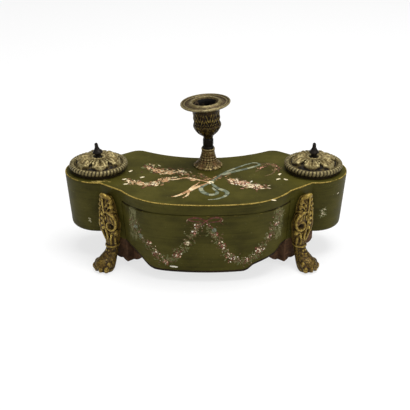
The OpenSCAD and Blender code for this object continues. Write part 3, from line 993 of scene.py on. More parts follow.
    def drawer_front(self) -> None:
        """The bow front with its shaped apron, worn along the lower edge, with painted shade along its top edge
        towards the ends and a thin gilt line there that is partly a painted highlight.
        """
        p, lip = self.plan, self.roundness
        high = p.top_z - p.board - p.gap
        top = p.bow(p.inset(high))
        low = read(self.apron, top[:, 0])
        rings = []
        for k in range(len(top)):
            z0 = float(low[k])
            levels = [(p.inset(z0) + lip + 0.9, z0, 1.0), (p.inset(z0) + lip * 0.5, z0 + lip * 0.13, 1.0)]
            levels += [(p.inset(z0) + lip * 0.13, z0 + lip * 0.5, 1.0)]
            levels += [
                (p.inset(z), z, w) for z, w in ((z0 + lip + 0.7, 0.95), (z0 + 2.6, 0.42), (z0 + 5, 0.12))
            ]
            # Towards the ends the top edge rounds away more and turns the dark of bare wood, which paints the
            # shade in the seam under the top board.
            end_wear_and_shade = float(np.clip((abs(top[k, 0]) - 36) / 24, 0, 1))
            edge = high - 0.5 - 1.1 * end_wear_and_shade
            spread = np.linspace(z0 + 5, edge - 0.7, 8)[1:]
            levels += [(p.inset(z), z, 0.0) for z in spread]
            levels += [(p.inset(edge), edge, 0.3 * end_wear_and_shade), (p.inset(high) + 0.35 + 1.3 * end_wear_and_shade, high, end_wear_and_shade)]
            levels += [(p.front_in, high, 0.0), (p.front_in, z0, 0.5)]
            rings.append(levels)
        columns = [[[*p.bow(i)[k], z] for k, (i, z, _) in enumerate(level)] for level in zip(*rings)]
        points = np.array(columns).transpose(1, 0, 2) + [0, LINE_Y, 0]
        wear = np.array([[level[2] for level in ring] for ring in rings])
        gilt = np.zeros(wear.shape)
        # A thin gilt line just under the drawer's top edge, which is also a painted highlight along that edge.
        gilt[:, -4] = 0.42
        ax = np.abs(points[:, :, 0])
        side = slope(ax, 54, 8) * np.clip((70 - ax) / 3, 0.4, 1)
        scuff = side * slope(points[:, :, 2], 26, 12) * 0.78
        kept = {"gilt": gilt.ravel(), "wear": wear.ravel(), "scuff": scuff.ravel()}
        self.painted("bow_drawer_front", "drawer_front", self.swept(list(points)), 45, kept, Body.DRAWER)


def dressed(node: str, material: Material) -> None:
    """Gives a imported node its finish."""
    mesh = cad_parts[node].data
    mesh.materials.clear()
    mesh.materials.append(material)
    LOG.info("%s: dressed in %s", node, material.name)


def softened(node: str, name: str, material: Material, width: float) -> None:
    """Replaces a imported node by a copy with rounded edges.

    Args:
        node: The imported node.
        name: The copy's name.
        material: Its finish.
        width: Width of the rounding in millimetres.
    """
    shape = bmesh.new()
    shape.from_mesh(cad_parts[node].data)
    bmesh.ops.remove_doubles(shape, verts=shape.verts, dist=1e-5)
    bmesh.ops.dissolve_limit(shape, angle_limit=math.radians(1), verts=shape.verts, edges=shape.edges)
    edges = [e for e in shape.edges if e.calc_face_angle(0) > math.radians(30)]
    bmesh.ops.bevel(
        shape, geom=edges, offset=width * MM, segments=3, profile=0.5, affect="EDGES", clamp_overlap=True
    )
    bmesh.ops.triangulate(shape, faces=shape.faces)
    shape.verts.ensure_lookup_table()
    points = np.array([v.co[:] for v in shape.verts]) / MM
    faces = [tuple(v.index for v in f.verts) for f in shape.faces]
    shape.free()
    Piece(points, faces).placed(name, material, Body.CASE, [node], 40, merge=True)


@dataclass
class Facet:
    """A canted facet of the case, on which a leg stands."""

    side: Side
    front: bool

    def place(self, points: Array) -> Array:
        """Moves points from a leg's own frame to the object's.

        Args:
            points: Across the facet, out of it, and up.

        Returns:
            The points in the object's frame.
        """
        p = PLAN
        if self.front:
            middle = (p.corner(0) + p.notch(0)) / 2
            turn, flip = math.radians(p.facet_turn), 1
        else:
            middle = (p.back_notch(0) + p.shoulder(0)) / 2
            turn, flip = math.radians(180 - p.back_turn), -1
        x, y = points[:, 0] * flip, -points[:, 1]
        across = (middle[0] + x * math.cos(turn) - y * math.sin(turn)) * self.side.value
        back = middle[1] + x * math.sin(turn) + y * math.cos(turn) + LINE_Y
        return np.column_stack([across, back, points[:, 2]])

    @property
    def mirrored(self) -> bool:
        """Whether the placing turns the shape inside out."""
        return (self.side is Side.LEFT) == self.front

    @property
    def word(self) -> str:
        """The facet's name, as the part's nodes spell it."""
        return f"{'front' if self.front else 'back'}_{self.side.word}"


@dataclass
class Casting:
    """Swellings and strands that melt together into one cast shape."""

    shape: bmesh.types.BMesh = field(default_factory=bmesh.new)

    def swelling(
        self, centre: Sequence[float], radii: Sequence[float], lean: Sequence[float] = (0, 0, 0)
    ) -> None:
        """Adds an egg shape.

        Args:
            centre: Its centre.
            radii: Its three radii.
            lean: How far it is turned about X, Y and Z, in degrees.
        """
        turn = Matrix.Translation(centre)
        for axis, degrees in zip("XYZ", lean):
            turn = turn @ Matrix.Rotation(math.radians(degrees), 4, axis)
        bmesh.ops.create_icosphere(
            self.shape, subdivisions=3, radius=1, matrix=turn @ Matrix.Diagonal((*radii, 1))
        )

    def strand(self, path: Path, radii: Sequence[float], sides: int = 10, steps: int = 8) -> None:
        """Adds a round strand along a smooth path.

        Args:
            path: Points that the strand goes through.
            radii: Its radius at each of them.
            sides: Points round it.
            steps: Stretches between two points of the path.
        """
        line, thick = smooth_path(path, steps), smooth_path(radii, steps)
        turns = np.linspace(0, FULL_TURN, sides, endpoint=False)
        rings = []
        for q, t, r in zip(line, np.gradient(line, axis=0), thick):
            t = t / np.linalg.norm(t)
            a = np.cross(t, [0.3, 1, 0.2])
            a /= np.linalg.norm(a)
            b = np.cross(t, a)
            rings.append([q + r * (math.cos(w) * a + math.sin(w) * b) for w in turns])
        self.loft(rings)
        for q, r in ((line[0], thick[0]), (line[-1], thick[-1])):
            bmesh.ops.create_icosphere(
                self.shape, subdivisions=2, radius=float(r), matrix=Matrix.Translation(q)
            )

    def loft(self, rings: Sequence) -> None:
        """Adds a closed body through rings of equal length."""
        rows = [[self.shape.verts.new(q) for q in ring] for ring in rings]
        n = len(rows[0])
        for one, two in zip(rows, rows[1:]):
            for k in range(n):
                self.shape.faces.new((one[k], one[(k + 1) % n], two[(k + 1) % n], two[k]))
        self.shape.faces.new(rows[0][::-1])
        self.shape.faces.new(rows[-1])

    def melted(self, voxel: float, rounds: int) -> Skin:
        """Melts everything into one skin.

        Args:
            voxel: Size of its facets in millimetres.
            rounds: How often it is evened out.

        Returns:
            Its points and faces.
        """
        mesh = bpy.data.meshes.new("casting")
        self.shape.normal_update()
        bmesh.ops.recalc_face_normals(self.shape, faces=self.shape.faces)
        self.shape.to_mesh(mesh)
        self.shape.free()
        made = linked("casting", mesh)
        remesh = made.modifiers.new("melt", "REMESH")
        remesh.mode, remesh.voxel_size = "VOXEL", voxel
        even = made.modifiers.new("even", "SMOOTH")
        even.factor, even.iterations = 0.5, rounds
        return skin_of(applied(made), 1.0)


def smooth_path(points: Sequence, steps: int) -> Array:
    """A smooth curve through points.

    Args:
        points: The points, or plain numbers.
        steps: Stretches between two of them.

    Returns:
        The curve's points.
    """
    points = np.array(points, float)
    ends = np.concatenate([[2 * points[0] - points[1]], points, [2 * points[-1] - points[-2]]])
    out = []
    for k in range(len(points) - 1):
        p0, p1, p2, p3 = ends[k : k + 4]
        for t in np.arange(steps) / steps:
            square, cube = (2 * p0 - 5 * p1 + 4 * p2 - p3) * t**2, (3 * p1 - p0 - 3 * p2 + p3) * t**3
            out.append(0.5 * (2 * p1 + (p2 - p0) * t + square + cube))
    out.append(points[-1])
    return np.array(out)


@dataclass
class PawLeg:
    """A cast leg: a lion's paw, a cuffed ankle, and a knee of scrolls under an acanthus leaf."""

    metal: CastMetal
    voxel: float = 0.42
    seat_from: float = 27.0
    keys: tuple = (
        (0, 17.5, 4.5, -0.5, 7.6, 0), (2.5, 19.5, 2.5, -0.5, 8.9, 0), (7, 18.5, 0.4, -0.5, 8.9, 0),
        (11, 15, -1.4, -0.6, 7.8, 0), (14.5, 10.4, -2.8, -0.8, 6.5, 0), (18, 7.4, -4.2, -0.9, 5.7, 0),
        (23, 6.2, -5, -0.9, 5.5, 0), (27.9, 5.8, -4.5, -0.8, 5.9, 0.9), (33, 5.8, -4, -0.3, 6.8, 1),
        (41, 6.8, -3, 0, 8.6, 1), (46, 6.9, -2.6, 0.2, 8.9, 1), (53, 5.8, -2, 1, 7, 1),
        (60, 6.2, -1.5, 1.8, 7.2, 1), (65, 5.6, -1, 2.2, 6.2, 1), (70, 4, -0.8, 2.6, 3.6, 1),
    )

    def ring(self, key: Sequence[float], sides: int = 40) -> Array:
        """A section of the leg's core."""
        z, front, back, shift, half, flat = key
        seat = -PLAN.inset(z) if z >= self.seat_from else back
        a = np.linspace(0, FULL_TURN, sides, endpoint=False)
        s = np.sin(a)
        middle = (front + back) / 2
        round_u = middle - (front - back) / 2 * s
        flat_u = np.where(s > 0, seat, seat + (front - seat) * np.abs(s) ** 0.75)
        u = flat * flat_u + (1 - flat) * round_u
        return np.column_stack([shift + half * np.cos(a), u, np.full(sides, z)])

    def core(self, casting: Casting) -> None:
        """The core from the key sections, evened between them."""
        keys = np.array(self.keys, float)
        heights = np.linspace(0, keys[-1, 0], 60)
        rows = np.column_stack([np.interp(heights, keys[:, 0], keys[:, c]) for c in range(6)])
        casting.loft([self.ring(row) for row in rows])

    def paw(self, casting: Casting) -> None:
        """The paw: a broad pad, four short toes of two knuckles each, tufts of fur and claws."""
        casting.swelling((-0.3, 11, 6.8), (8.6, 10.6, 6.8), (-14, 0, 0))
        casting.swelling((-0.3, 7, 10.8), (6.8, 7.6, 5.8), (-32, 0, 0))
        for x, reach, turn in ((-7.2, 15.8, 16), (-2.6, 18.1, 6), (2.2, 18.0, -6), (6.5, 15.6, -16)):
            casting.swelling((x, reach - 2.6, 7.4), (2.5, 3.4, 3.2), (-24, 0, turn))
            casting.swelling((x * 1.03, reach + 0.8, 4.2), (2.45, 2.9, 3.5), (0, 0, turn))
            casting.swelling((x * 0.8, reach - 7.4, 10.8), (1.9, 3.4, 2.1), (-34, 0, turn))
            casting.strand([(x, reach + 2, 2.8), (x * 1.02, reach + 2.9, 1.8)], [1, 0.5], 7, 3)
        for row, (z, u) in enumerate(((14.6, 9.4), (17.6, 7.2))):
            for k in range(5):
                x = -0.8 + (k - 2 + 0.5 * (row % 2)) * 2.5
                casting.swelling((x, u - 0.22 * (x + 0.8) ** 2, z), (1.2, 1.3, 2), (-30, 0, 0))

    def ankle(self, casting: Casting) -> None:
        """The cuff over the paw and the small leaves that hang over it."""
        turns = np.linspace(0, FULL_TURN, 25)
        casting.strand(
            [(-0.9 + 5.8 * math.cos(a), 0.8 + 6.0 * math.sin(a), 22.6 - 0.8 * math.sin(a)) for a in turns],
            [1.05] * 25, 8, 2
        )
        for x, u, lean in ((-5.6, 2.4, 10), (4.2, 2.4, -10), (-3.2, 5.0, 4), (1.6, 5.0, -4)):
            casting.swelling((x, u, 27.6), (1.5, 1.5, 4.4), (0, lean, 0))

    def knee(self, casting: Casting) -> None:
        """The scrolls: one round a deep eye on the inner side, and the flutes that gather below it."""
        casting.swelling((-4.4, 3.4, 47), (6.2, 5, 8.6))
        casting.swelling((5, 3.2, 46.5), (4.4, 4.2, 10.5), (0, -6, 0))
        casting.strand(
            [(1, 7.2, 57), (-3.6, 7.4, 56.6), (-7.8, 6.2, 53.6), (-9.6, 5, 48.4), (-8.8, 5.2, 42.6)]
            + [(-5.8, 6.4, 39.6), (-2.4, 7.4, 41), (-1.8, 7.9, 44.6), (-3.6, 8, 47.4)],
            [0.9, 1.3, 1.5, 1.6, 1.6, 1.4, 1.2, 1.1, 0.9],
        )
        for x, z, lean in ((-6.6, 51.4, 30), (-3.4, 51.8, 10), (-0.2, 50.6, -6)):
            casting.swelling((x, 7, z), (1.25, 1.3, 3.4), (0, lean, 0))
        casting.strand(
            [
                (8.6, 4.4, 60), (8.4, 5.4, 54), (7.6, 6.2, 48.6), (8.4, 5.6, 42.5), (7.6, 4.8, 37),
                (4.8, 5.4, 32.5), (2.4, 5.8, 28.5)
            ],
            [1, 1.3, 1.4, 1.6, 1.5, 1.2, 0.9],
        )
        for x, z in ((4.6, 53.4), (5.2, 48.8), (5.0, 44.2), (4.0, 39.8)):
            casting.swelling((x, 6.6, z), (1.9, 1.4, 2), (0, -24, 0))
        casting.strand([(2, 7.9, 49), (0.8, 7.8, 42), (-0.6, 6.9, 35.5), (-1, 6.1, 27)], [0.8, 1.1, 1.1, 0.9])
        casting.strand([(-7.8, 4.6, 38.6), (-5, 5.8, 34.5), (-3.4, 5.9, 27.5)], [1.3, 1.2, 0.9])
        casting.swelling((-8.2, 3.4, 37.4), (2, 2.6, 3), (0, 24, 0))
        casting.swelling((8.2, 3.4, 36.2), (1.8, 2.6, 2.8), (0, -24, 0))

    def leaf(self, casting: Casting) -> None:
        """The acanthus leaf at the top: a rolled tip, lobes at both sides and raised veins."""
        casting.swelling((1.6, 3.2, 61.5), (6.4, 4.6, 9.6))
        casting.strand(
            [(-3, 4.6, 69.4), (0.6, 6.6, 71.6), (4, 6.8, 71.8), (6.4, 5.2, 69.8)], [1.6, 2.1, 2.1, 1.5]
        )
        lobes = (
            (-3.9, 66.6, 20), (-4.8, 62.2, 32), (-5.0, 57.8, 46), (7.0, 66.4, -20), (7.8, 62.0, -32),
            (7.8, 57.6, -46)
        )
        for x, z, lean in lobes:
            casting.swelling((x, 4.6, z), (1.9, 2.2, 3), (0, lean, 0))
            casting.strand(
                [(x * 0.30 + 1.1, 7.2, z - 4.6), (x * 0.66 + 0.5, 7.0, z - 1.8), (x * 0.96, 5.8, z + 0.8)],
                [0.55, 0.75, 0.65], 7, 5
            )
        casting.strand([(2.8, 7.9, 71), (2.2, 8.3, 65), (1.6, 8, 59), (1.2, 7.8, 53)], [0.8, 0.9, 0.9, 0.7])

    def build(self) -> None:
        """Casts the leg once and sets it on the four facets."""
        casting = Casting()
        for part in (self.core, self.paw, self.ankle, self.knee, self.leaf):
            part(casting)
        points, faces = casting.melted(self.voxel, 3)
        points = self.chased(points)
        hollow = hollowness(points, faces, 14, 0.55)
        hollow = hollow + 0.10 * np.clip((22 - points[:, 2]) / 5, 0, 1) + 0.02
        material = self.metal.material()
        for front in (True, False):
            for side in Side:
                facet = Facet(side, front)
                turned = [f[::-1] for f in faces] if facet.mirrored else faces
                Piece(facet.place(points), turned, {"hollow": hollow}).placed(
                    f"cast_leg_{facet.word}", material, Body.CASE, [f"leg_{facet.word}"], 80
                )

    def chased(self, points: Array) -> Array:
        """Presses the eye of the scroll and the leaf's recesses in, and flattens back and sole."""
        x, u, z = points.T.copy()
        dents = (
            (-5.6, 44, 2.1, 4.6), (-1.6, 60.2, 0.9, 2.2), (-2.6, 64.6, 0.9, 2), (4.9, 60, 0.9, 2.2),
            (5, 64.6, 0.9, 2), (0.4, 54.2, 1.1, 2.2), (5.6, 56.4, 0.9, 1.8), (2.2, 40, 1, 2.2),
            (-2.2, 37.4, 1.1, 2.6), (-3, 32, 0.8, 2), (0.9, 32.6, 0.8, 1.8), (-7.6, 56.6, 1.1, 2.4),
            (6.6, 50.8, 0.8, 1.4), (6.4, 46.2, 0.8, 1.4), (2.8, 44.8, 0.8, 1.6), (-6.2, 35.6, 0.9, 1.8),
        )
        for cx, cz, r, depth in dents:
            u -= depth * np.exp(-(((x - cx) / r) ** 2 + ((z - cz) / r) ** 2)) * (u > 2)
        seat = np.where(z > PLAN.bottom_z, -np.array([PLAN.inset(h) for h in z]), -6.0)
        return np.column_stack([x, np.maximum(u, seat), np.maximum(z, 0)])


class Copier(Graph):
    """A node tree that sets copies of a small shape on points, with named inputs for its sizes."""

    def __init__(self, name: str, sizes: dict[str, float]) -> None:
        """Starts a tree of that name with an input for the geometry and one for each size."""
        super().__init__(bpy.data.node_groups.new(name, "GeometryNodeTree"))
        self.sizes = sizes
        face = self.tree.interface
        face.new_socket("Geometry", in_out="INPUT", socket_type="NodeSocketGeometry")
        kinds = {int: "NodeSocketInt", float: "NodeSocketFloat"}
        self.sockets = {
            k: face.new_socket(k, in_out="INPUT", socket_type=kinds[type(v)]) for k, v in sizes.items()
        }
        face.new_socket("Geometry", in_out="OUTPUT", socket_type="NodeSocketGeometry")
        self.entry = self.node("NodeGroupInput").outputs

    def size(self, name: str) -> Value:
        """The input of that name, to take part in expressions."""
        return Value(self, self.entry[name])

    def laid(self, made: Object, material: Material, **inputs: object) -> bpy.types.Mesh:
        """Sets the copies, makes them real and dresses them.

        Args:
            made: The object that the tree works on, which is used up.
            material: The finish of the copies.
            inputs: What the copying node takes.

        Returns:
            The copies in one mesh.
        """
        copies = self.node("GeometryNodeInstanceOnPoints", None, inputs)
        real = self.node("GeometryNodeRealizeInstances", None, {0: copies})
        finished = self.node("GeometryNodeSetMaterial", None, {0: real, "Material": material})
        self.node("NodeGroupOutput", None, {0: finished})
        modifier = made.modifiers.new(self.tree.name, "NODES")
        modifier.node_group = self.tree
        for key, size in self.sizes.items():
            modifier[self.sockets[key].identifier] = size
        return applied(made)


@dataclass
class Lid:
    """A domed lid of radiating acanthus leaves over a ribbed collar."""

    side: Side
    metal: Material
    rope: Material
    radius: float = 21.3
    low: float = 83.1
    leaves: int = 6
    bead_ring: float = 24.4
    bead_z: float = 84.35
    beads: int = 46
    hinge_gap: float = 14.0
    steps: int = 400
    leaf_edge: tuple = (
        (0, 1.05), (6, 1.02), (10, 1.0), (14, 0.97), (17, 0.91), (19, 0.77), (20.3, 0.5), (21, 0)
    )
    leaf_crest: tuple = (
        (0, 7.6), (3.6, 7.8), (5.4, 9.2), (7.4, 8.5), (11, 9.1), (14.5, 9), (17.5, 7.9), (19.3, 6.1),
        (20.3, 4.9), (21.3, 3),
    )
    dome: tuple = (
        (0, 7.4), (3.6, 7.4), (5.4, 7.8), (7.4, 6.7), (12, 5.9), (16.5, 4.7), (19.6, 3.1), (21.3, 2.2)
    )
    inside: tuple = ((20.8, 0.0), (19.1, 0.0), (16, 3.4), (9, 5.6), (1.5, 6.1))

    @property
    def centre(self) -> Array:
        """The well's centre in the object's frame."""
        return np.array([PLAN.well_x * self.side.value, LINE_Y, 0.0])

    def height(self, r: Array, turn: Array) -> Spot:
        """Height of the leaves over the lid's lower face.

        Args:
            r: Distance from the axis.
            turn: Angle in radians.

        Returns:
            The heights, and 1 on a leaf or 0 between the leaves.
        """
        chance = np.random.default_rng(5 + self.side.value)
        spread, reach, lean = (chance.uniform(-1, 1, self.leaves) for _ in range(3))
        phase = (turn + math.radians(-16 * self.side.value)) * self.leaves / FULL_TURN + 0.5
        leaf = np.floor(phase).astype(int) % self.leaves
        out = slope(r, 6, 14)
        t = 2 * (phase - np.floor(phase)) - 1 + 0.12 * lean[leaf] * out
        reach_r = r - 0.45 * reach[leaf]
        edge = read(self.leaf_edge, reach_r)
        edge = edge + 0.06 * np.cos(FULL_TURN * (r - 2) / 4.2) * slope(r, 8, 5) * (reach_r < 20.4)
        edge = np.maximum(edge, 1e-3)
        crest = read(self.leaf_crest, r) + 0.35 * spread[leaf] * out
        under = read(self.dome, r)
        share = np.clip(np.abs(t) / edge, 0, 1)
        arch = 1 - 0.42 * share**2.8
        channel = 1.3 * mound(t, 0, 0.10) * slope(r, 6, 4) * np.clip((20.6 - r) / 2, 0, 1)
        veins = 0.48 * np.cos(FULL_TURN * (np.abs(t) * 1.75 + 0.1 * lean[leaf] - 0.05 * r)) * slope(r, 5, 7)
        rolled = 0.45 * mound(share, 0.86, 0.11) * slope(r, 7, 5)
        lip = 1.0 * mound(reach_r, 19.4, 0.9) * mound(t, 0, 0.6)
        tall = under + (crest - under) * arch - channel + veins + rolled + lip
        small = 1.1 * mound(np.abs(t), 1, 0.16) * mound(r, 18.4, 2.0)
        mask = np.clip((edge - np.abs(t)) / 0.07, 0, 1)
        mask = mask * mask * (3 - 2 * mask) * (reach_r < 20.9)
        return tall * mask + (under + small) * (1 - mask), mask

    def build(self) -> None:
        """Builds the lid's leaves and the collar's ribbed bead."""
        turns = np.linspace(0, FULL_TURN, self.steps, endpoint=False)
        radii = np.concatenate([np.linspace(1.5, 16, 36), np.linspace(16.3, self.radius, 26)])
        r, a = np.meshgrid(radii, turns, indexing="ij")
        height, leafy = self.height(r, a)
        top = np.stack([r * np.cos(a), r * np.sin(a), height + self.low], 2)
        around = np.stack([np.cos(turns), np.sin(turns)], 1)
        under = [raised(rad * around, self.low + z) for rad, z in self.inside]
        points = np.concatenate([top.reshape(-1, 3), np.concatenate(under)])
        rows = len(radii) + len(under)
        faces = [f[::-1] for f in sheet_faces(rows, self.steps, close_rows=True, close_columns=True)]
        hollow = hollowness(points, faces, 22, 0.68)
        # Painted shade: the dome between the leaves is made much darker and the lid's underside darker, the
        # leaves a little lighter.
        hollow[: leafy.size] += 0.75 - 0.9 * leafy.ravel()
        hollow[leafy.size :] = 0.3
        word = self.side.word
        Piece(points + self.centre, faces, {"hollow": hollow}).placed(
            f"leaf_lid_{word}", self.metal, self.side.lid, [f"lid_{word}"], 70
        )
        self.bead()

    def bead(self) -> None:
        """The ribbed bead: slanting beads set round the collar, with a gap at the hinge."""
        turns = np.linspace(0, FULL_TURN, 10, endpoint=False)
        rows = []
        for s in (-1, -0.8, -0.35, 0.35, 0.8, 1):
            swell = math.sqrt(max(1 - s * s, 0.0)) * 0.36 + 0.64
            for w in turns:
                rows.append(
                    [2.6 * swell * math.cos(w), 1.62 * s + 0.5 * math.sin(w) * swell, 2.6 * swell * math.sin(w)]
                )
        faces = sheet_faces(6, 10, close_columns=True) + [list(range(10))[::-1], list(range(50, 60))]
        element = linked("bead", mesh_of("bead", np.array(rows), [f[::-1] for f in faces]))
        name = f"ribbed_bead_{self.side.word}"
        ring = Copier(
            f"{name}_ring",
            {
                "Count": self.beads,
                "Radius": (self.bead_ring - 0.05) * MM,
                "Height": self.bead_z * MM,
                "Step": math.radians((360 - self.hinge_gap) / self.beads),
                "Start": math.radians(90 + self.hinge_gap / 2 + 3),
            },
        )
        turn = ring.value("GeometryNodeInputIndex").math("MULTIPLY_ADD", ring.size("Step"), ring.size("Start"))
        x, y = (turn.math(wave) * ring.size("Radius") for wave in ("COSINE", "SINE"))
        place = ring.node("ShaderNodeCombineXYZ", None, {0: x, 1: y, 2: ring.size("Height")})
        dots = ring.node("GeometryNodePoints", None, {"Count": ring.size("Count"), "Position": place})
        spin = ring.node("ShaderNodeCombineXYZ", None, {2: turn})
        points, faces = skin_of(
            ring.laid(element, self.rope, Points=dots, Instance=ring.entry["Geometry"], Rotation=spin)
        )
        hollow = np.clip(0.95 - 1.5 * self.bulge(points), -1, 1)
        Piece(points + self.centre, faces, {"hollow": hollow}).placed(
            name, self.rope, Body.CASE, (), 70
        )

    def bulge(self, points: Array) -> Array:
        """How far out of the bead ring's own centre line each point lies, from 0 to 1."""
        r = np.hypot(points[:, 0], points[:, 1]) - self.bead_ring
        return np.clip((np.hypot(r, points[:, 2] - self.bead_z) - 0.9) / 1.6, 0, 1)


@dataclass
class CandleHolder:
    """The candle holder: leafy foot, dark stem, chased cup that leans, and a drip pan."""

    leafy: Material
    chased: Material
    pan: Material
    stem: Material
    x: float = 2.0
    y: float = 8.0
    cup_z: float = 108.0
    lean: float = 4.5
    sharp: float = 60.0
    foot_profile: tuple = (
        (12.4, 0), (12.9, 0.5), (13, 1.2), (12, 2), (10.6, 2.8), (9.4, 4), (8.4, 5.6), (7.6, 7.6), (6.9, 10),
        (6.4, 12.6), (6, 15.2), (5.6, 15.8), (6.2, 16.4), (6.4, 17.2), (6.1, 18), (2.3, 18), (2.3, 0)
    )
    cup_profile: tuple = (
        (1, 0), (4.4, 0), (4.9, 1.2), (7.6, 3.4), (9.9, 5.6), (11.6, 8), (12.6, 10.2), (13, 11.8), (12.5, 13.2),
        (11.6, 14.2), (11.6, 15.4), (11.8, 18), (11.9, 21), (12.1, 24), (12.5, 27), (12.8, 28), (12.8, 29),
        (10.8, 29), (10.8, 8), (1, 7)
    )
    pan_profile: tuple = (
        (10, 30.6), (10, 20), (10, 8.6), (10.7, 8.6), (10.7, 29.05), (13.4, 29.05), (15.5, 30), (18, 30.7),
        (20.3, 31.2), (22, 31.8), (22.6, 32.3), (22.9, 32.9), (22.8, 33.4), (22.4, 33.8), (21.8, 33.9),
        (21.2, 33.6), (20.8, 33), (20.2, 33.1), (19.6, 33.5), (18.9, 33.3), (18.3, 32.6), (17, 32.6),
        (15.6, 33.1), (14.4, 33.9), (13.4, 34.5), (12.6, 34.6), (12, 34.3), (11.5, 33.4), (10.6, 31.6),
        (10, 30.6)
    )

    def standing(self, points: Array) -> Array:
        """Moves points from the stem's axis to the object's frame."""
        return points + [self.x, self.y + LINE_Y, 0]

    def leaning(self, points: Array) -> Array:
        """Moves points from the cup's own axis to the object's frame."""
        a = -math.radians(self.lean)
        x, y, z = points.T
        turned = np.column_stack([x * math.cos(a) + z * math.sin(a), y, -x * math.sin(a) + z * math.cos(a)])
        return self.standing(turned + [0, 0, self.cup_z])

    @staticmethod
    def turned(
        profile: Path, steps: int, relief: Callable[[Array, Array], Array], fine: int = 6
    ) -> Skin:
        """A ring turned from a closed profile, with relief on its radius.

        Args:
            profile: Radius and height of its points, anticlockwise.
            steps: Points round the axis.
            relief: Gives the extra radius from the distance along the profile, 0 to 1, and the angle.
            fine: Stretches between two points of the profile.

        Returns:
            Its points and faces.
        """
        line = np.concatenate(
            [np.linspace(a, b, fine, endpoint=False) for a, b in zip(profile, profile[1:])] + [[profile[-1]]]
        )
        along = np.linspace(0, 1, len(line))
        turns = np.linspace(0, FULL_TURN, steps, endpoint=False)
        s, a = np.meshgrid(along, turns, indexing="ij")
        r = line[:, 0][:, None] + relief(s, a)
        points = np.stack(
            [r * np.cos(a), r * np.sin(a), np.repeat(line[:, 1][:, None], steps, 1)], 2
        ).reshape(-1, 3)
        return points, sheet_faces(len(line), steps, close_rows=True, close_columns=True)

    def cast(self, name: str, node: str, skin: Skin, hollow: Array, metal: Material) -> None:
        """Places a casting.

        Args:
            name: Its name.
            node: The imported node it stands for.
            skin: Its points and faces.
            hollow: How hollow each point lies.
            metal: Its finish.
        """
        Piece(*skin, {"hollow": hollow}).placed(name, metal, Body.CASE, [node], self.sharp, merge=True)

    def build(self) -> None:
        """Builds the foot, the cup and the nozzle and dresses the turned parts."""
        self.foot()
        self.cup()
        self.nozzle()
        for node in ("candle_stem", "candle_rod", "candle_nut"):
            dressed(node, self.stem)

    def foot(self) -> None:
        """The flared foot with eight leaves and a fluted neck."""
        def relief(s: Array, a: Array) -> Array:
            """Leaves low down and flutes above."""
            low = ridge(s, 0.20, 0.22)
            flutes = ridge(s, 0.46, 0.16)
            wave = np.abs(np.cos(4 * a)) ** 0.5
            rows = np.cos(110 * s) * 0.2
            leaves = 1.2 * wave - 0.6 + 0.25 * np.cos(24 * a + 14 * s * np.sign(np.sin(8 * a)))
            return low * leaves + flutes * (0.22 * np.cos(16 * a) + rows)

        points, faces = self.turned(self.foot_profile, 160, relief, 5)
        points = points + [0, 0, PLAN.top_z]
        hollow = hollowness(points, faces, 10, 0.3)
        skin = (self.standing(points), faces)
        self.cast("leafy_candle_foot", "candle_foot", skin, hollow, self.leafy)

    def cup(self) -> None:
        """The cup: gadroons below, a waist, and upright leaves to the rim."""
        def relief(s: Array, a: Array) -> Array:
            """Gadroons on the bowl and leaves on the wall."""
            bowl = ridge(s, 0.23, 0.13) ** 0.5
            wall = ridge(s, 0.56, 0.16) ** 0.4
            lobes = np.abs(np.cos(6 * a)) ** 0.6 - 0.6
            phase = 8 * a + math.pi / 2
            leaf = np.abs(np.cos(phase / 2)) ** 0.5
            veins = 0.28 * np.cos(32 * a + 50 * (s - 0.56) * np.sign(np.sin(phase)))
            return bowl * 0.9 * lobes + wall * (0.8 * leaf - 0.5 + veins + 0.2 * np.cos(64 * s))

        points, faces = self.turned(self.cup_profile, 224, relief, 6)
        hollow = hollowness(points, faces, 10, 0.34)
        skin = (self.leaning(points), faces)
        self.cast("chased_candle_cup", "candle_cup", skin, hollow, self.chased)

    def nozzle(self) -> None:
        """The nozzle: a straight tube, a lip round its mouth and a drip pan with a double moulding; the inside
        of the tube is painted near-black as shade.
        """
        def relief(s: Array, a: Array) -> Array:
            """Dents of long use on the pan."""
            return 0.08 * np.sin(3 * a + 1.0) * ridge(s, 0.6, 0.2)

        points, faces = self.turned(self.pan_profile[:-1], 128, relief, 3)
        hollow = hollowness(points, faces, 8, 0.3)
        # Painted shade: the inside of the socket is pushed to the darkest level of the metal.
        inside_socket = (np.hypot(points[:, 0], points[:, 1]) < 11.2) & (points[:, 2] < 33.2)
        hollow = np.where(inside_socket, 1.6, hollow)
        Piece(self.leaning(points), faces, {"hollow": hollow}).placed(
            "turned_drip_pan", self.pan, Body.CASE, ["candle_nozzle"], 50, merge=True
        )


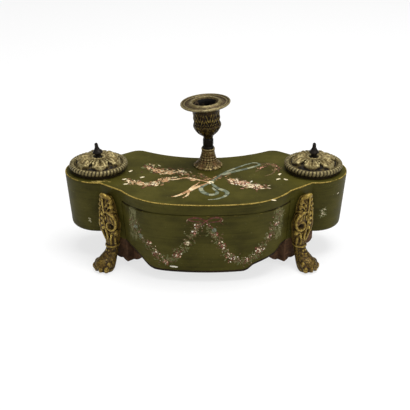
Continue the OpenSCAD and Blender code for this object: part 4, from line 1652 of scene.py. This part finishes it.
@dataclass
class Brushwork:
    """Painted daubs on one of the case's surfaces, collected and then laid on together."""

    name: str
    surface: Callable[[float, float], Spot]
    seed: int
    rows: list = field(default_factory=list)

    def __post_init__(self) -> None:
        """Starts the seeded chance that varies the daubs."""
        self.chance = np.random.default_rng(self.seed)

    def daub(self, place: Place, turn: float, length: float, width: float, colour: str) -> None:
        """Adds a daub at a place on the surface, turned in degrees."""
        self.rows.append((place, turn, length, width, colour))

    def near(self, place: Place, spread: float) -> Array:
        """A random place near another."""
        return np.array(place) + self.chance.normal(0, spread, 2)

    def tone(self, colours: Sequence[str]) -> str:
        """One of the colours at random."""
        return str(self.chance.choice(colours))

    def blossom(self, place: Place, size: float, petals: Sequence[str], eye: str, count: int = 5) -> None:
        """Adds a small flower of round petals.

        Args:
            place: Where it is on the surface.
            size: Its width.
            petals: Colours that its petals are drawn from.
            eye: Colour of its middle.
            count: How many petals.
        """
        spin = self.chance.uniform(0, 360)
        for k in range(count):
            a = spin + 360 * k / count
            self.daub(place + unit(a) * size * 0.30, a, size * 0.46, size * 0.40, self.tone(petals))
        self.daub(place, spin, size * 0.26, size * 0.24, eye)

    def rose(self, place: Place, size: float, petals: Sequence[str], heart: str) -> None:
        """Adds a full rose: rings of petals round a dark heart.

        Args:
            place: Where it is on the surface.
            size: Its width.
            petals: Colours from the outermost ring to the innermost.
            heart: Colour of the heart.
        """
        for ring, (reach, scale, count) in enumerate(((0.36, 0.46, 7), (0.2, 0.40, 5), (0.05, 0.28, 3))):
            spin = self.chance.uniform(0, 360)
            for k in range(count):
                a = spin + 360 * k / count
                own = petals[min(ring, len(petals) - 1)]
                tone = own if self.chance.random() < 0.75 else self.tone(petals)
                self.daub(place + unit(a) * size * reach, a + 90, size * scale, size * scale * 0.62, tone)
        self.daub(place, self.chance.uniform(0, 180), size * 0.16, size * 0.12, heart)

    def leaf(self, place: Place, turn: float, length: float, colours: Sequence[str]) -> None:
        """Adds a leaf of two strokes.

        Args:
            place: Where its stalk starts.
            turn: Its direction in degrees.
            length: Its length.
            colours: Colours of the two strokes.
        """
        middle = place + unit(turn) * length * 0.5
        side = unit(turn + 90) * length * 0.09
        for s, tone in ((1, colours[0]), (-1, colours[1 % len(colours)])):
            self.daub(middle + side * s, turn, length, length * 0.26, tone)

    def ribbon(self, path: Path, widths: Sequence[float], colours: Sequence[str]) -> None:
        """Adds a ribbon as overlapping strokes.

        Args:
            path: Points of its smooth path.
            widths: Its width at each of them.
            colours: Colours that take turns along it.
        """
        line, wide = smooth_path(path, 12), smooth_path(widths, 12)
        for k in range(len(line) - 1):
            step = line[k + 1] - line[k]
            length = float(np.hypot(*step)) * 2.2 + wide[k] * 0.5
            tone = colours[int((k / 5) % len(colours))]
            self.daub(line[k] + step / 2, heading(step), length, float(wide[k]), tone)

    def laid(self, material: Material, body: Body, rise: float = 0.09) -> Object:
        """Lays the daubs on the surface with a node tree.

        Args:
            material: The painter's colours.
            body: The body that carries the surface.
            rise: How far a daub stands off in millimetres.

        Returns:
            The painted piece.
        """
        places, turns, spreads, tints = [], [], [], []
        for k, ((x, y), turn, length, width, colour) in enumerate(self.rows):
            point, normal = self.surface(x, y)
            across = np.array(self.surface(x + 0.05, y)[0]) - self.surface(x - 0.05, y)[0]
            across /= np.linalg.norm(across)
            up = np.cross(normal, across)
            a = math.radians(turn)
            along = across * math.cos(a) + up * math.sin(a)
            basis = Matrix(np.column_stack([along, np.cross(normal, along), normal]).tolist())
            places.append((point + np.array(normal) * (0.02 + 0.02 * (k % 4))) * MM)
            turns.append(basis.to_euler()[:])
            spreads.append((length / 2 * MM, width / 2 * MM, 1.0))
            tints.append(paint_colour(colour))
        dots = bpy.data.meshes.new(f"{self.name}_places")
        dots.from_pydata([tuple(q) for q in places], [], [])
        kinds = (("turn", "FLOAT_VECTOR", "vector", turns), ("spread", "FLOAT_VECTOR", "vector", spreads))
        for key, kind, word, numbers in (*kinds, ("tint", "FLOAT_COLOR", "color", tints)):
            dots.attributes.new(key, kind, "POINT").data.foreach_set(
                word, np.array(numbers, np.float32).ravel()
            )
        tree = Copier(f"{self.name}_daubs", {"Rise": rise * MM})
        daub = tree.node("GeometryNodeMeshUVSphere", None, {"Segments": 10, "Rings": 4, "Radius": 1.0})
        kind = "GeometryNodeInputNamedAttribute"
        turn, spread = (
            tree.node(kind, {"data_type": "FLOAT_VECTOR"}, {"Name": key}).outputs["Attribute"]
            for key in ("turn", "spread")
        )
        high = tree.node("ShaderNodeCombineXYZ", None, {0: 1.0, 1: 1.0, 2: tree.size("Rise")})
        scale = tree.node("ShaderNodeVectorMath", {"operation": "MULTIPLY"}, {0: spread, 1: high})
        mesh = tree.laid(
            linked(self.name, dots), material, Points=tree.entry["Geometry"], Instance=daub, Rotation=turn,
            Scale=scale
        )
        mesh.shade_smooth()
        return settled(linked(self.name, mesh), body)


@dataclass
class Ornament:
    """The painted flowers: swags and a bow on the drawer, sprays on the top and the ends."""

    colours: Brushstrokes = Brushstrokes()
    pinks: tuple = ("c9a184", "b07c66", "d6bfa2")
    peaches: tuple = ("b38a62", "96704c", "c4a47a", "d4bd96")
    creams: tuple = ("cbbd98", "dccfae", "a99d78")
    reds: tuple = ("58291b", "432012", "6e3828")
    greens: tuple = ("5b5f35", "4d4b27", "6f6c40")
    browns: tuple = ("54401f", "4a3a1c", "6a5630")
    golds: tuple = ("8f7c3c", "a8934e", "75662e")
    pales: tuple = ("e2d8c0", "dccfae", "e6dfcc")
    shadows: tuple = ("2f2a12", "2a2410")
    chip: str = "d8d2c0"
    blues: tuple = ("59614f", "6b725e", "4a5245", "87886f")

    def build(self) -> None:
        """Paints the drawer, the top and the ends."""
        self.finish = self.colours.material()
        self.drawer()
        self.top()
        self.ends()

    def drawer(self) -> None:
        """Two flower swags that hang from a ribbon bow."""
        work = Brushwork("painted_swags", PLAN.front, 11)
        left = [
            (-5, 60), (-8, 57.5), (-11, 52), (-13.9, 47), (-16.6, 40), (-21, 34), (-26, 28), (-30.1, 23.8),
            (-35, 20.6), (-40, 22), (-45.1, 27.4), (-51.2, 35), (-57.4, 42), (-61.8, 48), (-65.4, 53.5)
        ]
        right = [
            (2, 58), (5, 51.5), (8.6, 46), (13, 38.5), (17.5, 32), (21.1, 26.4), (26.4, 22.5), (32.7, 20.6),
            (37.1, 21.6), (41.6, 24), (46, 27.5), (51.2, 34.8), (55.4, 42.5), (58.9, 48.5), (61.5, 53.5),
            (64.1, 58.5), (65.8, 62.5)
        ]
        for path in (left, right):
            self.swag(work, smooth_path(path, 5))
        clusters = (
            (-44, 27.5, 3), (-24.5, 28, 3.2), (-10, 52, 1.8), (-8, 58.5, 2), (14, 38, 3), (22.5, 25.5, 4.2),
            (46.5, 30, 3.6), (36, 21.5, 2), (55.5, 42.5, 2.4), (62.5, 52, 1.8), (-51, 36.5, 1.8), (9, 50, 1.6),
            (-35.5, 19, 2),
        )
        for x, y, size in clusters:
            self.cluster(work, (x, y), size)
        for x, y, tones in (
            (-16, 40.5, self.creams), (-57.5, 41.5, self.blues), (-62, 49.5, self.blues), (7, 54.5, self.blues)
        ):
            work.rose((x, y), 4.2, tones, self.greens[1])
        self.bow(work)
        work.laid(self.finish, Body.DRAWER)

    def cluster(self, work: Brushwork, place: Place, size: float) -> None:
        """Tiny pale flowers over dark red ones.

        Args:
            work: The brushwork that takes them.
            place: The middle of the cluster.
            size: How far it spreads.
        """
        chance = work.chance
        for _ in range(int(6 + size * 4)):
            work.daub(work.near(place, size * 0.5), chance.uniform(0, 180), 2.0, 1.4, work.tone(self.reds))
        for _ in range(int(4 + size * 3)):
            spot, dot = work.near(place, size * 0.5), chance.uniform(0.9, 1.7)
            tone = work.tone(self.pinks + self.pales)
            work.daub(spot, chance.uniform(0, 180), dot * 1.2, dot, tone)

    def swag(self, work: Brushwork, line: Array) -> None:
        """Subdued leaves and buds along a line.

        Args:
            work: The brushwork that takes them.
            line: The points of the line.
        """
        chance = work.chance
        for k, middle in enumerate(line):
            turn = heading(line[min(k + 1, len(line) - 1)] - line[max(k - 1, 0)])
            for _ in range(4):
                place = work.near(middle, 2.0)
                tones = self.greens if chance.random() < 0.5 else self.browns + self.shadows
                work.leaf(place, turn + chance.uniform(-90, 90), chance.uniform(1.8, 3.4), tones)
            if chance.random() < 0.35:
                place = work.near(middle, 1.6)
                work.blossom(place, chance.uniform(1.4, 2.2), self.reds + self.browns, self.creams[2])
            if chance.random() < 0.9:
                place, dot = work.near(middle, 2.3), chance.uniform(0.55, 1.0)
                work.daub(place, 0, dot, dot, work.tone(self.creams + self.pinks))

    def bow(self, work: Brushwork) -> None:
        """The dark red ribbon bow with two loops and trailing ends."""
        red = self.reds[:2]
        loops = (
            (
                [(0, 63.6), (-5, 66), (-10.5, 66.6), (-15.5, 64.4), (-9, 63), (-3, 62.6)],
                [1, 1.8, 2, 1.6, 1.3, 0.9]
            ),
            (
                [(0, 63.6), (4.5, 66.2), (10, 67), (14, 64.6), (8.5, 62.8), (3, 62.4)],
                [1, 1.8, 2, 1.6, 1.3, 0.9]
            ),
            ([(-0.6, 63), (-4, 60), (-6.6, 57.4), (-7.4, 54.6)], [1.3, 1.7, 1.3, 0.5]),
            ([(0.6, 63), (2.6, 59.4), (5.6, 56.6), (7.4, 53)], [1.3, 1.8, 1.3, 0.5]),
            ([(13.6, 64.8), (12.6, 62.2), (14.8, 60)], [0.7, 0.6, 0.3]),
            ([(-15.2, 64.6), (-16.6, 62.4), (-15.4, 60.2)], [0.6, 0.6, 0.3]),
        )
        for path, widths in loops:
            work.ribbon(path, widths, red)
        for x, y, turn in ((-16.4, 64.0, 70), (13.0, 66.4, -40), (14.2, 63.6, 60)):
            work.daub((x, y), turn, 2.4, 0.6, self.creams[2])
        work.daub((0.2, 63.6), 30, 2.2, 1.8, self.reds[2])

    @staticmethod
    def on_top(x: float, y: float) -> Spot:
        """A point on the top board, from the wells' line."""
        return np.array([x, y + LINE_Y, PLAN.top_z]), np.array([0.0, 0.0, 1.0])

    def top(self) -> None:
        """A loose spray of roses with pale ribbons, in a layout of its own."""
        work = Brushwork("painted_top_spray", self.on_top, 23)
        knot = (4.0, -30.0)
        sashes = (
            (
                [knot, (12, -16), (26, -6), (40, 2), (50, 10), (44, 14), (30, 4), (16, -10), (6, -26)],
                [2.0, 3.6, 4.2, 3.4, 2.2, 1.6, 2.6, 3.0, 2.0], self.blues
            ),
            (
                [knot, (10, -42), (18, -50), (17, -58), (10, -64), (2, -66)], [2.0, 4.2, 4.6, 3.4, 2.4, 1.0],
                self.blues
            ),
            (
                [knot, (-4, -40), (-3, -50), (4, -56), (10, -52), (6, -42)], [2.0, 4.4, 4.8, 4.4, 3.4, 2.0],
                self.blues
            ),
            ([knot, (-8, -40), (-17, -50), (-25, -58), (-30, -60)], [2.4, 4.4, 4.0, 2.6, 1.0], self.peaches),
            ([knot, (-8, -24), (-18, -20), (-30, -24), (-40, -20)], [1.8, 2.8, 2.4, 2.0, 0.8], self.peaches),
            ([(-6, -30), (-14, -44), (-16, -56), (-20, -62)], [1.6, 2.6, 2.2, 0.8], self.peaches[1:]),
            ([(50, 10), (58, 12), (64, 2), (61, -10), (54, -16)], [1.6, 1.6, 1.8, 1.6, 0.8], self.browns),
        )
        for path, widths, tones in sashes:
            work.ribbon(path, widths, tones)
            line = smooth_path(path, 6)
            for k in range(2, len(line) - 3, 3):
                step = line[k + 1] - line[k]
                side = np.array([-step[1], step[0]]) / (np.hypot(*step) + 1e-9)
                place = line[k] + side * np.interp(k / 6, range(len(widths)), widths) * 0.32
                work.daub(place, heading(step), 4.2, 0.7, tones[-1])
        sprays = (
            (
                [(-54, 6), (-47, -2), (-38, -8), (-28, -4), (-19, -9), (-10, -20)], 8,
                self.peaches + self.creams[2:], 110
            ),
            (
                [(-70, -25), (-60, -32), (-48, -34), (-38, -27), (-30, -20)], 6, self.peaches + self.creams[2:],
                90
            ),
            (
                [(22, -24), (30, -31), (40, -37), (52, -40)], 7,
                self.pinks + self.creams[::2] + self.peaches[:2], 90
            ),
            ([(46, -4), (54, 6), (60, 12), (66, 4), (64, -8)], 4, self.browns + self.pinks[1:2], 30),
            ([(-6, -14), (2, -22), (12, -20), (20, -12)], 5, self.browns + self.peaches[:2], 40),
        )
        for path, spread, tones, count in sprays:
            self.spray(work, path, spread, tones, count)
        roses = (
            (-45, -4, 8, self.peaches), (-33, -9, 7, self.peaches), (-58, -33, 7.5, self.peaches),
            (-46, -33, 7, self.creams), (-37, -26, 6.5, self.peaches), (-22, -6, 5.5, self.creams),
            (31, -31, 8, self.pinks), (40, -38, 7, self.creams), (48, -40, 6, self.pinks),
            (4, -30, 6.5, self.creams), (-12, -24, 6, self.peaches), (23, -25, 6, self.peaches),
        )
        for x, y, size, tones in roses:
            work.rose((x, y), size, tones, self.reds[0])
        corner, chance = PLAN.notch(0.8), work.chance
        for _ in range(26):
            off = chance.normal(0, 1, 2) * (3.4, 1.3)
            place = (-abs(corner[0]) + off[0] - 1.5, corner[1] + abs(off[1]) + 0.6)
            work.daub(place, chance.uniform(-30, 10), chance.uniform(1.4, 3.4), 1.0, work.tone(self.golds))
        for x, y, size in ((36, -33, 5), (44, -40, 4.5), (28, -30, 4)):
            self.cluster(work, (x, y), size)
        for x, y, turn in (
            (-76, -24, 20), (-74, -34, 12), (-71, -7, 50), (66, -14, 60), (70, -22, -40), (63, -24, 30),
            (56, -66, -20), (-60, -20, 30)
        ):
            work.leaf((x, y), turn, 5, self.creams)
        work.laid(self.finish, Body.CASE, 0.07)

    def spray(self, work: Brushwork, path: Sequence, spread: float, tones: Sequence[str], count: int) -> None:
        """Loose strokes of blossom along a path, over darker strokes of foliage.

        Args:
            work: The brushwork that takes them.
            path: The points of the path.
            spread: How far they stray from it.
            tones: Their colours.
            count: How many there are.
        """
        line = smooth_path(path, 8)
        chance = work.chance
        for choice, share in ((self.browns + self.reds[:2] + self.greens[:1], 1.1), (tuple(tones), 1.0)):
            for _ in range(int(count * share)):
                k = int(chance.integers(0, len(line) - 1))
                place = work.near(line[k], spread * 0.42)
                turn = heading(line[k + 1] - line[k]) + chance.normal(0, 32)
                work.daub(place, turn, chance.uniform(1.8, 5.2), chance.uniform(0.8, 1.9), work.tone(choice))

    def ends(self) -> None:
        """A small spray on each round end and a few chips in the paint."""
        for side, middle, height, size in ((Side.RIGHT, -37.1, 48.0, 0.85), (Side.LEFT, -37.3, 40.0, 0.45)):
            work = Brushwork(
                f"painted_end_{side.word}", lambda a, z, s=side: PLAN.end(s, a / 0.5, z), 31 + side.value
            )
            for x, y, bloom in (
                (0, -1, 3.6), (1.4, 3.6, 2.6), (-1.8, -4.4, 2.2), (2.4, -3.0, 1.8), (-1.6, 2.2, 2.0)
            ):
                place = (middle + x * size, height + y * size)
                for turn in (60, 160, 250, 330):
                    work.leaf(place, turn, 3.2 * size, self.greens)
                work.blossom(place, bloom * size, self.creams, self.reds[1])
            if side is Side.RIGHT:
                work.daub((-22.2, 64), 30, 2.6, 1.0, self.creams[1])
            work.laid(self.finish, Body.CASE)
        chips = Brushwork("paint_chips", PLAN.front, 41)
        for x, z, turn, length, width in (
            (-28.6, 15.4, 2, 6.4, 1.7), (-26.4, 15.1, 8, 3.2, 1.4), (-31, 15.6, -6, 2.6, 1.1)
        ):
            chips.daub((x, z), turn, length, width, self.chip)
        chips.laid(self.finish, Body.DRAWER)


@dataclass
class Studio:
    """Camera, lamps and a plain floor."""

    eye: tuple[float, float, float] = (-0.9, -797.7, 434.5)
    pitch: float = 25.9
    focus: float = 955.0
    frame_px: float = 410.0
    sensor: float = 36.0
    target: tuple[float, float, float] = (0, 0, 0.06)
    ambient: float = 0.33
    floor_glow: float = 0.72

    def camera(self) -> None:
        """Sets the camera where the photograph was taken."""
        data = bpy.data.cameras.new("eye")
        data.sensor_width = self.sensor
        data.lens = self.focus / self.frame_px * self.sensor
        data.clip_start, data.clip_end = 0.01, 20
        made = linked("eye", data)
        made.location = [v * MM for v in self.eye]
        made.rotation_euler = (math.radians(90 - self.pitch), 0, 0)
        bpy.context.scene.camera = made

    def lamp(self, name: str, place: Sequence[float], size: float, power: float) -> None:
        """Adds a soft square lamp that looks at the object.

        Args:
            name: Its name.
            place: Where it is, in metres.
            size: Its width in metres.
            power: Its power in watts.
        """
        data = bpy.data.lights.new(name, "AREA")
        data.shape, data.size, data.energy = "SQUARE", size, power
        made = linked(name, data)
        made.location = place
        made.rotation_euler = (Vector(self.target) - Vector(place)).to_track_quat("-Z", "Y").to_euler()

    def floor(self) -> None:
        """A plain pale floor that keeps the shadow."""
        s = Shader("pale_floor")
        seen = s.value("ShaderNodeLightPath", output="Is Camera Ray")
        pale = s.node("ShaderNodeBsdfDiffuse", None, {"Color": (0.86, 0.86, 0.86, 1)})
        glow = s.node("ShaderNodeEmission", None, {"Color": (1, 1, 1, 1), "Strength": 1.0})
        mix = s.node("ShaderNodeMixShader", None, {0: seen * self.floor_glow, 1: pale, 2: glow})
        s.node("ShaderNodeOutputMaterial", None, {"Surface": mix})
        mesh = bpy.data.meshes.new("floor")
        mesh.from_pydata([(-4, -4, 0), (4, -4, 0), (4, 4, 0), (-4, 4, 0)], [], [(0, 1, 2, 3)])
        mesh.materials.append(s.material)
        linked("floor", mesh)

    def world(self) -> None:
        """Plain ambient light that the camera sees as white."""
        world = bpy.data.worlds.new("studio")
        world.use_nodes = True
        g = Graph(world.node_tree)
        seen = g.value("ShaderNodeLightPath", output="Is Camera Ray")
        lit, white = (
            g.node("ShaderNodeBackground", None, {0: (1, 1, 1, 1), 1: strength})
            for strength in (self.ambient, 1.0)
        )
        mix = g.node("ShaderNodeMixShader", None, {0: seen, 1: lit, 2: white})
        g.node("ShaderNodeOutputWorld", None, {0: mix})
        bpy.context.scene.world = world

    def build(self) -> None:
        """Sets up the whole studio."""
        self.camera()
        self.world()
        self.floor()
        self.lamp("overhead", (0.2, 0.0, 1.5), 1.0, 28)
        self.lamp("key", (1.1, -1.0, 0.9), 0.8, 6.5)
        self.lamp("fill", (-1.1, -0.9, 0.7), 0.9, 2)
        bpy.context.scene.view_settings.view_transform = "Standard"
        LOG.info("studio: camera, lamps, floor")


@dataclass
class Fittings:
    """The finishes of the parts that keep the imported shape."""

    collar: Material
    pale: Material
    dark: Material
    bracket_edge: float = 1.0

    def build(self) -> None:
        """Dresses the drawer's box, the brackets, the wells and the small metal parts."""
        along = BareWood("drawer_wood", "8a6b48", "5c4129").material()
        across = BareWood("partition_wood", "7c5f40", "523a26", (1.0, 0.08, 1.0)).material()
        brown = BareWood("bracket_wood", "634730", "38271a", (0.3, 0.3, 1.0)).material()
        iron = CastMetal("old_iron", "6a655c", "3c3933", "24211d", "4a3423", 0.5, 0.6).material()
        glass = InkGlass().material()
        for node in ("drawer_back", "drawer_bottom"):
            dressed(node, along)
        for side in Side:
            for node in ("partition", "drawer_guide", "drawer_side"):
                dressed(f"{node}_{side.word}", across)
            for node in ("bracket_front", "bracket_back"):
                name = f"{node}_{side.word}"
                softened(name, f"rounded_{name}", brown, self.bracket_edge)
            small = (("ink_glass", glass), ("collar", self.collar), ("lid_strap", self.pale))
            for node, finish in (*small, ("finial", self.dark), ("hinge_pin", iron)):
                dressed(f"{node}_{side.word}", finish)


def main() -> None:
    """Builds the inkstand's looks piece by piece."""
    logging.basicConfig(level=logging.INFO, format="%(name)s: %(message)s")
    Studio().build()
    case = Case()
    case.build()
    PawLeg(
        CastMetal(
            "cast_gilt_bronze", "b8a050", "725c26", "2a1f0c", "4c3619", 0.4, 0.4, mottle=1.7, contrast=1.0
        )
    ).build()
    pale = CastMetal(
        "pale_gilt_bronze", "a19468", "685a37", "2e2412", "584a24", 0.42, 0.4, mottle=1.8, contrast=0.75
    ).material()
    rope = CastMetal(
        "bead_bronze", "8c8058", "584e33", "2a2314", "473e22", 0.42, 0.4, mottle=1.5, contrast=0.8
    ).material()
    collar = CastMetal("collar_bronze", "5f553c", "40371f", "221b0f", "322a18", 0.5, 0.4).material()
    dark = CastMetal("dark_bronze", "4c443a", "26211c", "15110e", "1d1814", 0.35, 0.5).material()
    for side in Side:
        Lid(side, pale, rope).build()
    CandleHolder(
        CastMetal(
            "foot_bronze", "b8a678", "786438", "382a12", "66452a", 0.42, 0.35, mottle=1.6, contrast=0.9
        ).material(),
        CastMetal(
            "chased_bronze", "9c8742", "3c2f18", "140d07", "3a2614", 0.38, 0.45, mottle=1.6, contrast=1.0
        ).material(),
        # The pan's near-black is the painted shade inside the candle socket.
        CastMetal(
            "pan_bronze", "a89c76", "6e623e", "382c18", "564630", 0.4, 0.4, mottle=2.6, contrast=0.7,
            black="050403"
        ).material(),
        dark,
    ).build()
    Fittings(collar, pale, dark).build()
    Ornament().build()
    LOG.info("sizes written")


if __name__ == "__main__":
    main()
